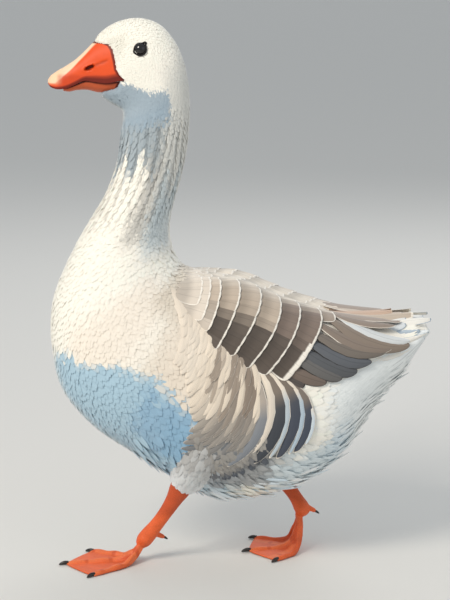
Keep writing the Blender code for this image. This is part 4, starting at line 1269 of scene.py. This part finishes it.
def thigh_shell(side, sign):
    surface, length = thigh(side, sign)
    rows, columns = THIGH_GRID
    up, around = np.linspace(2, length, rows), np.linspace(-math.pi, math.pi, columns, endpoint=False)
    points, *faces = shell(surface(up[:, None], around[None, :], -THIGH_COAT))
    return points, faces, np.tile(THIGH_WHITE, (len(points), 1))


def leg_shell(side, sign):
    points, quads = merged(f"{side}_leg", leg_shells(side, sign))
    return points, [quads], leg_colour(side, sign, points)


def make_skin():
    """One skin for head, neck, trunk, tail, wings, thighs and legs: the body's surface, with the
    thighs and the bare legs grown out of it."""
    shells, bare = [trunk_shell()], [False]
    for side, sign in SIDES:
        shells += [thigh_shell(side, sign), leg_shell(side, sign)]
        bare += [False, True]
    first = np.cumsum([0] + [len(points) for points, _, _ in shells])
    faces = {False: [], True: []}
    for (_, kinds, _), start, is_bare in zip(shells, first, bare):
        faces[is_bare] += [kind + start for kind in kinds]
    colour = np.concatenate([colours for _, _, colours in shells])
    piece = mesh_object(
        "skin", np.concatenate([points for points, _, _ in shells]), faces[False] + faces[True],
        DOWN_SKIN, "feather_white", marks=ground_mark(colour), sharp=0,
    )
    piece.data.materials.append(LEG_SKIN)
    index = np.zeros(len(piece.data.polygons), np.int32)
    index[-sum(len(kind) for kind in faces[True]) :] = 1
    piece.data.polygons.foreach_set("material_index", index)
    flesh = ["head", "neck", "trunk", "tail"]
    flesh += [f"{side}_{part}" for side, _ in SIDES for part in ("thigh", "shank", "foot")]
    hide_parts(*flesh)


# ---------------------------------------------------------------- coat

EYE_BARE, MARGIN_BARE = 9.0, 0.6  # how far feather roots keep from the eye's middle and the bill


def bare_face(t, turn):
    """True where bill or eye leaves no room for a feather's root."""
    p = section(t, turn)
    in_bill = p[:, 0] < margin_x(p[:, 2]) + MARGIN_BARE
    to_eye = np.hypot(p[:, 0] - EYE_X, p[:, 2] - EYE_Z)
    return in_bill | ((to_eye < EYE_BARE) & (np.abs(np.degrees(turn)) < 130))


HEAD_FEATHERS = ((735, 10.5), (800, 6.2), (850, 4.6), (884, 3.6))  # distance, length


def small_coat(name, t, turn, lean, length, width, base, tip, colour, slot="feather_white", **shape):
    """Small feathers of the body as one piece."""
    vanes(name, body, t, turn, lean, length, width, base, tip, colour, SMALL_FEATHER, slot, **shape)


def varied(size, low, high, count):
    """A size times a random factor for each feather."""
    return size * rng.uniform(low, high, count)


def make_head():
    t, turn = carpet(at("neck_top", 0.6), BODY_LENGTH - 4, 1.9, 2.0)
    keep = ~bare_face(t, turn)
    t, turn = t[keep], turn[keep]
    size, count = read(HEAD_FEATHERS, t), len(t)
    small_coat(
        "head_feathers", t, turn, rng.normal(0, 0.12, count), varied(size, 0.9, 1.2, count),
        size * 0.56, -1.0, rng.uniform(0.0, 0.22, count),
        tinted(strewn(t, turn, 0.35), 0.010, count), outline=DOWNY, crown=0.2, thick=0.2, cup=0.15,
    )


FURROWS = 26  # round the neck


def furrow(t, turn):
    """-1 in the grooves to 1 on the ridges of the furrowed neck, which slant a little round it."""
    lie = np.abs(turn) * FURROWS + (t - 600) * 0.02 + 1.3 * np.sin(t * 0.045 + np.abs(turn) * 5)
    return np.cos(lie) * window(t, 640, 735, 45)


def make_neck():
    t, turn = carpet(at("crop", 0.9), at("nape_low", 0.6), 4.0, 2.6)
    count, ridge = len(t), furrow(t, turn)
    # painted shade: the feathers in the furrows' grooves are darkened
    dark = 1 - 0.27 * ease(-ridge * 1.3)
    streak = 15 * np.sin(np.abs(turn) * 9 + 1.3) + 9 * np.sin(np.abs(turn) * 23)
    colour = strewn(t + streak * window(t, 610, 715, 22), turn)
    small_coat(
        "neck_feathers", t, turn, rng.normal(0, 0.05, count), varied(16, 0.85, 1.15, count), 4.0,
        -2.2 + 0.5 * ridge, 0.3 + 0.7 * ridge + rng.uniform(-0.3, 0.4, count),
        tinted(colour * dark[:, None], 0.02, count), crown=0.5, thick=0.3,
    )


def wing_low(t):
    """Turn, in degrees, of the folded wing's lower border at a distance from the tail's tip."""
    share = np.clip((t - WING_START) / (WING_END - WING_START), 0, 1)
    row = spline(WING_TABLE[:, 0], WING_TABLE[:, 1:], share)
    return np.where((t > WING_START) & (t < WING_END), row[..., 0] + row[..., 1], 0.0)


def make_breast():
    t, turn = carpet(at("keel"), at("neck_root", 0.3), 4.0, 5.0)
    count = len(t)
    small_coat(
        "breast_feathers", t, turn, rng.normal(0, 0.09, count), varied(19, 0.85, 1.15, count),
        9.0, -2.5, 0.35 + rng.uniform(-0.12, 0.25, count),
        tinted(strewn(t, turn, 0.45), 0.012, count), outline=POINTED, crown=0.25, cup=0.2, thick=0.2,
    )


# Curves that the long flank feathers follow, from the rear: rearmost distance, turn there, turns
# of the upper and the lower end
FLANK_CURVES = (
    (203, 95, 78, 117), (220, 94, 74, 119), (237, 90, 71, 118), (255, 86, 69, 121),
    (277, 80, 64, 122), (294, 76, 60, 122), (308, 72, 55, 112), (322, 67, 50, 99),
    (345, 66, 47, 88), (372, 66, 46, 80),
)
# Long feathers at the rear of the flank: rearmost distance of their curve, width, ends as shares
# of the curve, colours towards root and tip
FLANK_BANDS = (
    # the bands' darker, bluer tip colours are painted shade over their own cream and brown
    (203, 9, 0.04, 0.93, "#EFE8DC", "#D5E0E6"), (211, 17, -0.06, 0.99, "#80756B", "#454D5B"),
    (219, 10, -0.10, 0.97, "#E9DDCC", "#B3C4D0"), (228, 19, -0.12, 1.01, "#7B7065", "#454B57"),
    (237, 9, -0.14, 1.00, "#EDE1D0", "#B9C5CC"), (247, 20, -0.14, 1.03, "#85796D", "#3F434A"),
    (256, 10, -0.14, 0.86, "#EDE0CE", "#DDD2C3"), (265, 14, -0.05, 1.02, "#B4A99D", "#83878D"),
)


FLANK_BEND = (0.085, 0.029)  # how fast a curve runs forward above and below its rearmost place
UNDER_FLANK = (206.0, 362.0)  # curves between which no other feathers grow
UNDER_TOP, UNDER_FOOT = 4.0, 3.0  # margins in degrees there


def flank_curve(rear):
    """Turns of the rearmost place, the upper and the lower end of the curve at a distance."""
    curves = np.array(FLANK_CURVES, float)
    return (np.interp(rear, curves[:, 0], curves[:, k]) for k in (1, 2, 3))


def flank_rise(off):
    """How far before its rearmost place a curve lies, some degrees off it."""
    return np.where(off < 0, *FLANK_BEND) * off**2


def flank_line(rear, share):
    """Distance and turn at a share of the way down the curve with this rearmost distance."""
    centre, top, foot = flank_curve(rear)
    turn = top + (foot - top) * share
    return rear + flank_rise(turn - centre), turn


def in_flank(t, turn):
    """Whether a place lies under the long feathers of the flank."""
    degrees = np.abs(np.degrees(turn))
    centre, top, foot = flank_curve(t)
    rear = t - flank_rise(degrees - centre)
    between = (rear > UNDER_FLANK[0]) & (rear < UNDER_FLANK[1])
    return between & (degrees > top - UNDER_TOP) & (degrees < foot - UNDER_FOOT)


UNDER_WING = 8.0  # degrees by which the belly's feathers run under the wing


def make_belly():
    t, turn = carpet(at("vent"), at("keel", 0.2), 5.2, 6.0)
    degrees = np.abs(np.degrees(turn))
    keep = (degrees > wing_low(t) - UNDER_WING) & ~in_flank(t, turn)
    t, turn, degrees = t[keep], turn[keep], degrees[keep]
    count = len(t)
    lean = 0.35 * window(degrees, 70, 125, 20) + rng.normal(0, 0.1, count)
    shaggy = ease((degrees - 112) / 20) * rng.uniform(0, 1, count) ** 3
    small_coat(
        "belly_feathers", t, turn, lean, varied(24, 0.85, 1.2, count) + 4 * shaggy,
        12.5 - 4 * shaggy, -2.5, 0.8 + rng.uniform(-0.3, 0.7, count) + 5 * shaggy,
        tinted(strewn(t, turn, 0.6), 0.018, count), outline=POINTED, crown=0.4, cup=0.3, thick=0.3,
    )


# Tufts off the midline and on it: from where to where along the body, and their number
WIDE_TUFTS, MIDDLE_TUFTS = (214.0, 335.0, 60), (80.0, 214.0, 34)


def make_tufts():
    """Loose pointed tufts along the belly behind the legs, and a few on the midline up to the
    tail."""
    t = np.concatenate([rng.uniform(*WIDE_TUFTS), rng.uniform(*MIDDLE_TUFTS)])
    count, wide = len(t), t > WIDE_TUFTS[0]
    low = np.where(wide, rng.uniform(134, 166, count), rng.uniform(166, 180, count))
    turn = np.radians(low) * np.where(np.arange(count) % 2, -1, 1)
    # the wide tufts behind the legs take a random share of blue-grey painted shade
    shade = mixed(linear("#F2F4F3"), linear("#C9DAE4"), rng.uniform(0, 1, count) * wide)
    small_coat(
        "belly_tufts", t, turn, 0.25 * wide + rng.normal(0, 0.12, count),
        varied(30, 0.8, 1.25, count), varied(8.0, 0.8, 1.2, count), -1.0,
        np.where(wide, 2.5, 5.0) + rng.uniform(0, 5.5, count), shade, outline=PLUME,
        across=SEVEN, crown=0.9, cup=0.5, bow=rng.normal(0, 0.05, count),
    )


# Rows of coverts: how far they bow, the turn of their middle, the step between feathers
COVERT_BOW, COVERT_CENTRE, COVERT_STEP = 26.0, 30.0, 13.0
COVERT_TOP = -3.0  # the rows' upper end, just past the back's middle
BOW_SCALE = 33.0  # degrees from a row's middle at which it has moved by its bow


def row_places(middle, low, sign, phase):
    """Tips of one row of coverts: a line bowed towards the tail, its distance growing with the
    square of the turn from its centre; and their lean, square to the line."""
    fine = np.radians(np.linspace(COVERT_TOP, low, 200))
    t = middle + COVERT_BOW * ((np.degrees(fine) - COVERT_CENTRE) / BOW_SCALE) ** 2
    line = cloak(t, sign * fine)
    reach = np.concatenate([[0], np.cumsum(np.linalg.norm(np.diff(line, axis=0), axis=1))])
    count = max(int(round(reach[-1] / COVERT_STEP)), 2)
    place = (np.arange(count) + 0.5 + phase + rng.uniform(-0.12, 0.12, count)) / count
    place = np.clip(place, 0, 1.02) * reach[-1]
    turn, t = np.interp(place, reach, fine), np.interp(place, reach, t)
    slope = 2 * COVERT_BOW * (np.degrees(turn) - COVERT_CENTRE) / BOW_SCALE**2 * (180 / math.pi)
    by_t, by_turn = slopes(cloak, t, sign * turn)
    way = by_t * slope[:, None] + sign * by_turn
    over = dot(way, -unit(by_t))
    down = np.sqrt(np.maximum(dot(way, way) - over**2, 1e-9))
    return t, sign * turn, -np.arctan2(over, down)


FRINGE = linear("#F9F2E6")  # pale edge of the coverts


def wing_colour(t, turn):
    """Saddle and coverts: pale beige along the back, brown on the side, and darker by the lower border
    as painted shade.
    """
    degrees = np.abs(np.degrees(turn))
    colour = mixed(linear("#E4DACB"), linear("#C2B2A0"), ease((degrees - 10) / 24))
    colour = mixed(colour, linear("#85756A"), window(t, 130, 226, 20) * ease((degrees - 18) / 16))
    degrees = degrees + rng.normal(0, 1.5, np.shape(degrees))
    # painted shade along the wing's lower border
    low = ease((degrees - 36 - 0.10 * (330 - t)) / 12) * ease((345 - t) / 20)
    colour = mixed(colour, linear("#5A5048"), low)
    return mixed(colour, linear("#E4D9CB"), 0.85 * ease((t - 322) / 24))


# Rows of coverts from the shoulder back: distance of a row's middle, turn of its lowest feather
COVERT_ROWS = (
    (352.0, 44.0), (335.0, 50.0), (317.0, 56.0), (291.0, 63.0), (264.0, 67.0), (235.0, 71.0),
    (208.0, 74.0), (178.0, 74.0), (158.0, 32.0), (140.0, 20.0),
)
GREATER_ROW = 178.0  # the row over the flight feathers, whose lower tips are pale


def covert_row(k, middle, low, sign):
    """Place, lean, length and pale rim of the feathers of one row."""
    t, turn, lean = row_places(middle, low, sign, 0.25 * (k % 2))
    degrees = np.abs(np.degrees(turn))
    pale = (middle == GREATER_ROW) * ease((degrees - 50) / 12)
    length = np.full(len(t), min(38.0 + 2.0 * k, 52.0))
    return t, turn, lean * 0.95 * ease((degrees - 4) / 22), length, 1.9 + 3.2 * pale


def make_coverts():
    for side, sign in SIDES:
        rows = [covert_row(k, *row, sign) for k, row in enumerate(COVERT_ROWS)]
        t, turn, lean, length, rim = (np.concatenate(x) for x in zip(*rows))
        count = len(t)
        raised = -0.4 + 3.1 * ease((np.abs(turn) - 0.10) / 0.5)
        piece = vanes(
            f"{side}_covert_feathers", cloak, t, turn, lean + rng.normal(0, 0.03, count), length,
            length * 0.56, -1.5, raised + rng.uniform(-0.2, 0.2, count),
            tinted(wing_colour(t + 8, turn), 0.035, count), COVERT, "feather_grey", outline=BROAD,
            across=SEVEN, border=FRINGE, rim=rim, crown=0.9, from_tip=True, roll=0.5, cup=0.8,
        )
        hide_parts(f"{side}_wing")


def flank_colour(rear, turn):
    """Cream with brown streaks that follow the curves, greyer low down."""
    streak = window(rear, 275, 286, 4) + 0.9 * window(rear, 295, 303, 4)
    streak += 0.85 * window(rear, 317, 325, 4) * ease((94 - turn) / 10)
    colour = mixed(linear("#E6D8C5"), linear("#8D7F72"), np.clip(streak, 0, 1))
    grey = mixed(linear("#918B84"), linear("#74787C"), ease((turn - 106) / 12))
    colour = mixed(colour, grey, 0.95 * ease((turn - 90) / 14))
    return mixed(colour, ground_colour(rear, np.radians(turn)), ease((rear - 330) / 36))


def flank_vanes(
    name, sign, rear, upper, lower, width, base, tip, ground, border, rim, outline=PLUME
):
    """Feathers along the flank's curves, each from its upper to its lower share of its curve."""
    (t, turn), (tip_t, tip_turn) = flank_line(rear, upper), flank_line(rear, lower)
    arch = flank_line(rear, (upper + lower) / 2)[0] - (t + tip_t) / 2
    vanes(
        name, body, t, sign * np.radians(turn), 0.0, 60.0, width, base, tip, ground, FLANK_PLUME,
        "feather_grey", outline=outline, across=SEVEN, border=border, rim=rim, crown=0.9,
        to=(tip_t, sign * np.radians(tip_turn)), arch=arch, roll=-0.8, cup=0.7,
    )


def make_rear_flank(side, sign):
    """The long banded feathers at the rear of the flank."""
    rear, width, upper, lower = np.array([band[:4] for band in FLANK_BANDS]).T
    ground = np.array([linears(band[4:]) for band in FLANK_BANDS])
    flank_vanes(
        f"{side}_rear_flank_feathers", sign, rear, upper, lower, width, 0.6, 2.6, ground,
        linear("#EDE4D6"), 1.3, BROAD,
    )


FRONT_CURVES, FRONT_STARTS = (271, 376, 5.2), (-0.2, 0.66, 0.1)  # first, end, step
FRONT_SHARE = 0.42  # length of a feather as a share of its curve


def make_front_flank(side, sign):
    """Softer and shorter feathers before them, along the same curves."""
    grid = np.meshgrid(np.arange(*FRONT_CURVES), np.arange(*FRONT_STARTS))
    rear, upper = (x.ravel() for x in grid)
    count = len(rear)
    rear = rear + rng.uniform(-2.2, 2.2, count)
    upper = upper + rng.uniform(-0.05, 0.05, count)
    lower = np.minimum(upper + FRONT_SHARE + rng.uniform(-0.04, 0.05, count), 1.03)
    colour = flank_colour(rear + rng.normal(0, 1.2, count), flank_line(rear, lower - 0.1)[1])
    colour = tinted(colour, 0.04, count)
    flank_vanes(
        f"{side}_flank_feathers", sign, rear, upper, lower, 11.0, -0.8,
        1.8 + rng.uniform(-0.3, 0.6, count), colour, mixed(colour, linear("#F4EADC"), 0.35), 0.9,
    )


SKIRT = (258, 342, 190)  # from where to where along the body, and the number of feathers
SKIRT_DEPTH = 15  # degrees over which their tips are strewn
# Lower edge of the skirt: distance, turn
SKIRT_EDGE = ((240, 119), (273, 124), (303, 132), (322, 135), (342, 125))


def make_skirt(side, sign):
    """A ragged skirt of darker feathers where the flank ends over the belly."""
    t = rng.uniform(*SKIRT)
    count, inner = len(t), rng.uniform(0, 1, len(t))
    turn = sign * np.radians(read(SKIRT_EDGE, t) - SKIRT_DEPTH * inner)
    shade = mixed(linear("#565B63"), linear("#98948E"), ease(inner / 0.45))
    small_coat(
        f"{side}_flank_skirt", t, turn, 0.85 + rng.normal(0, 0.12, count),
        varied(29, 0.8, 1.2, count), 8.5, -1.5, 2.2 + rng.uniform(-0.5, 1.0, count),
        tinted(shade, 0.08, count), "feather_grey", outline=PLUME, across=SEVEN, crown=0.8,
        from_tip=True, bow=0.06, cup=0.4,
    )


def make_flanks():
    for side, sign in SIDES:
        make_rear_flank(side, sign)
        make_front_flank(side, sign)
        make_skirt(side, sign)


# Flight feathers, those on the side from the lowest up and then those along the back: root's
# distance and turn, tip's distance and turn, width, lift of the tip, rise of one side over the
# other, colours of vane and edge, edge's width
QUILLS = (
    # the dark edges of the lower flight feathers are painted shade lines between them
    (263, 68, 207, 80, 17, 0.8, 0.8, "#564F4B", "#2B2725", 1.3),
    (252, 66, 177, 80, 18, 1.5, 0.8, "#77695F", "#2B2725", 1.3),
    (230, 59, 154, 80, 18, 2.2, 0.8, "#6B6967", "#2B2725", 1.3),
    (219, 56, 129, 81, 18, 2.9, 0.8, "#5C5E61", "#2B2725", 1.3),
    (209, 50, 105, 80, 18, 3.6, 0.8, "#63666B", "#2B2725", 1.3),
    (201, 44, 81, 77, 19, 4.3, 0.8, "#7A7168", "#2F2A27", 1.0),
    (190, 36, 72, 77, 20, 5.0, 0.8, "#8A7C70", "#F0E6D8", 1.5),
    (176, 26, 44, 87, 25, 5.6, 0.8, "#8B7D70", "#5A5048", 0.8),
    (164, 20, 41, 81, 16, 6.3, 0.0, "#D5D8D8", "#F1EFEA", 1.0),
    (172, 20, 60, 48, 20, 6.2, 0.8, "#93857A", "#EADFD0", 1.4),
    (170, 15, 48, 34, 28, 6.4, 0.8, "#A3958A", "#F1E8DA", 1.8),
    (168, 10, 28, 16, 27, 6.8, -3.0, "#C6B7A6", "#F8F0E2", 2.6),
    (158, 3, 44, 4, 26, 5.4, 0.0, "#B7A797", "#EADFD0", 1.4),
    (160, 6, 60, 7, 24, 8.6, -2.5, "#C9AC96", "#DCC4AE", 1.4),
    (170, 1, 52, 1, 24, 4.2, 0.0, "#B7A797", "#EADFD0", 1.4),
)


def make_flight():
    root_t, root_turn, tip_t, tip_turn, width, lift, roll = np.array([row[:7] for row in QUILLS]).T
    centre, edge, rim = (np.array([row[k] for row in QUILLS]) for k in (7, 8, 9))
    for side, sign in SIDES:
        piece = vanes(
            f"{side}_flight_feathers_fan", cloak, root_t, sign * np.radians(root_turn), 0.0, 60.0,
            width, lift * 0.3 - 2.0, lift, linears(centre), FLIGHT, "feather_grey", outline=QUILL,
            across=SEVEN, border=linears(edge), rim=rim, crown=1.4,
            to=(tip_t, sign * np.radians(tip_turn)), roll=roll, cup=0.7,
        )
        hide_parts(f"{side}_flight_feathers")


# Layers under the tail: feathers a side, distance of their tips, lift
UNDERTAIL = ((9, 16, 0.3), (7, 9, -1.2), (6, 4, -2.4))
# Tail feathers from the outermost in, and the coverts on them: root's distance and turn, tip's
# distance and turn, width, lift of the tip, rise of the outer edge over the inner, colour
RECTRICES = (
    (120, 76, 24, 106, 19, 0.4, -1.5, "#F3EFE6"), (100, 58, 8, 92, 19, 2.2, -3.0, "#F3EFE6"),
    # the third feather's blue-grey is painted shade in the notch between the prongs
    (93, 42, 20, 62, 22, 0.6, -1.0, "#B4C1CC"), (88, 24, 1, 30, 20, 4.6, -2.0, "#F3EFE6"),
    (86, 6, 9, 7, 22, 2.4, 0.0, "#E6E6E2"), (86, 34, 40, 38, 20, 4.4, -1.0, "#DDE2E4"),
    (84, 18, 38, 20, 20, 5.2, -1.0, "#E9E8E3"), (82, 5, 36, 5, 20, 5.4, 0.0, "#EDEBE5"),
)


def make_rectrices(side, sign):
    """Half the tail's fan, with the coverts on it."""
    root_t, root_turn, tip_t, tip_turn, width, lift, roll = np.array(
        [row[:7] for row in RECTRICES]
    ).T
    white = tinted(linears([row[7] for row in RECTRICES]), 0.02, len(RECTRICES))
    vanes(
        f"{side}_tail_feathers", body, root_t, sign * np.radians(root_turn), 0.0, 90.0, width,
        lift * 0.3 - 2.0, lift - 1.5, white, FLIGHT, "feather_white", outline=PRONG,
        # blue-grey edges: painted shade lines between the white feathers
        across=SEVEN, border=linear("#9FB0BE"), rim=1.0, crown=1.6,
        to=(tip_t + 2, sign * np.radians(tip_turn)), roll=roll, cup=0.6,
    )


def make_undertail():
    """Coverts in layers under the tail close its fan from below."""
    for layer, (each, first, depth) in enumerate(UNDERTAIL):
        turn = np.radians(np.linspace(104.0, 180.0, each))
        turn = np.concatenate([turn, -turn[:-1]])
        count = len(turn)
        vanes(
            f"undertail_feathers_{layer}", body, first + rng.uniform(-2, 3, count), turn, 0.0, 62.0,
            20.0, depth - 1.1, depth, tinted(np.tile(linear("#EEF1F0"), (count, 1)), 0.02, count),
            # blue-grey edges: painted shade lines between the white feathers
            FLIGHT, "feather_white", outline=QUILL, across=SEVEN, border=linear("#C3CFD8"), rim=0.9,
            crown=1.0, from_tip=True, cup=0.6,
        )


RUMP_END = 20.0  # distance of the rearmost small feathers
RUMP_BARE, RUMP_SIDE = 62.0, 97.0  # but they end at this distance above this turn


def make_rump():
    """Small feathers of rump and vent, a few of them loose below."""
    t, turn = carpet(RUMP_END, at("vent", 0.1), 5.2, 3.9)
    keep = (np.abs(np.degrees(turn)) > RUMP_SIDE) | (t > RUMP_BARE)
    t, turn = t[keep], turn[keep]
    degrees, count = np.abs(np.degrees(turn)), len(t)
    loose = ease((degrees - 105) / 40) * ease((t - 55) / 30) * rng.uniform(0, 1, count) ** 5
    small_coat(
        "rump_and_vent_feathers", t, turn, rng.normal(0, 0.05, count),
        np.minimum(varied(33, 0.85, 1.15, count) + 6 * loose, t - 6), 7.2, -1.2,
        0.1 + rng.uniform(-0.1, 0.25, count) + 6.0 * loose,
        tinted(strewn(t, turn, 0.5), 0.01, count), outline=POINTED, crown=0.25, cup=0.3, thick=0.2,
        bow=rng.normal(0, 0.03, count),
    )


def make_tail():
    for side, sign in SIDES:
        make_rectrices(side, sign)
    make_undertail()
    make_rump()


THIGH_RING, THIGH_STEP = 28, 4.4  # feathers round the thigh, and the rows' distance


def make_thighs():
    for side, sign in SIDES:
        surface, length = thigh(side, sign)
        rows = np.arange(9.0, length * 0.92, THIGH_STEP)
        count = THIGH_RING * len(rows)
        t = np.repeat(rows, THIGH_RING) + rng.uniform(-1.5, 1.5, count)
        place = (np.tile(np.arange(THIGH_RING), len(rows)) + rng.uniform(0, 0.9, count)) / THIGH_RING
        turn = place * 2 * math.pi - math.pi
        shaded = ease((t / length - 0.25) / 0.45) * rng.uniform(0.6, 1.0, count)
        colour = mixed(linear("#E2E6E7"), linear("#A09D99"), shaded)
        vanes(
            f"{side}_thigh_feathers", surface, t, turn, rng.normal(0, 0.13, count),
            np.minimum(varied(26, 0.8, 1.2, count), t + rng.uniform(-4, 4, count)), 8.5, -2.0,
            0.3 + rng.uniform(-0.3, 1.2, count), colour, SMALL_FEATHER, "feather_white",
            outline=PLUME, crown=0.4, cup=0.3, thick=0.25,
            unwrap=((turn / (2 * math.pi)) % 1, t / length),
        )


# ---------------------------------------------------------------- studio

FLOOR_REACH = 40.0  # metres
AIR = 0.66  # strength of the even light from all round
# Area lights: name, place, size in metres, watts, colour; all look at one point
LIGHTS = (
    ("key", (-1.9, -2.2, 2.6), 1.25, 84.0, "#FFF7EC"),
    ("fill", (2.4, -2.4, 1.4), 2.6, 8.0, "#E2EDF8"),
    ("back", (0.8, 2.4, 2.4), 1.8, 24.0, "#FFFFFF"),
)
LIT = (0, 0, 0.3)
VIEW_FROM, VIEW_TO = (-0.0206, -2.4, 0.75), (-0.0206, 0.0, 0.329)
LENS, SENSOR = 116.9, 36.0


def make_floor():
    mesh = bpy.data.meshes.new("floor")
    corners = [(x * FLOOR_REACH, y * FLOOR_REACH, 0) for x, y in ((-1, -1), (1, -1), (1, 1), (-1, 1))]
    mesh.from_pydata(corners, [], [(0, 1, 2, 3)])
    made, _, shader = principled("floor_paint", Roughness=0.8)
    shader.inputs["Base Color"].default_value = (*linear("#D9D7D2"), 1)
    mesh.materials.append(made)
    floor = bpy.data.objects.new("floor", mesh)
    bpy.context.scene.collection.objects.link(floor)


def set_up(name, data, place, target):
    """Puts a light or a camera at a place, looking at a target."""
    thing = bpy.data.objects.new(name, data)
    thing.location = place
    thing.rotation_euler = (Vector(target) - Vector(place)).to_track_quat("-Z", "Y").to_euler()
    bpy.context.scene.collection.objects.link(thing)
    return thing


def make_studio():
    make_floor()
    world = bpy.data.worlds.new("studio")
    bpy.context.scene.world = world
    world.use_nodes = True
    world.node_tree.nodes["Background"].inputs[0].default_value = (*linear("#E6ECF2"), 1)
    world.node_tree.nodes["Background"].inputs[1].default_value = AIR
    bpy.context.scene.view_settings.view_transform = "Standard"
    for name, place, size, power, colour in LIGHTS:
        light = bpy.data.lights.new(name, "AREA")
        light.size, light.energy, light.color = size, power, linear(colour)
        set_up(name, light, place, LIT)
    lens = bpy.data.cameras.new("camera")
    lens.lens, lens.sensor_width = LENS, SENSOR
    bpy.context.scene.camera = set_up("camera", lens, VIEW_FROM, VIEW_TO)


def main():
    make_skin()
    make_claws()
    bill_piece("upper_bill_horn", "upper_bill", UPPER_BILL, UPPER_MARGIN, False)
    bill_piece("lower_bill_horn", "lower_bill", LOWER_BILL, LOWER_MARGIN, True)
    make_eyes()
    make_head()
    make_neck()
    make_breast()
    make_belly()
    make_tufts()
    make_flanks()
    make_coverts()
    make_flight()
    make_tail()
    make_thighs()
    make_studio()


main()
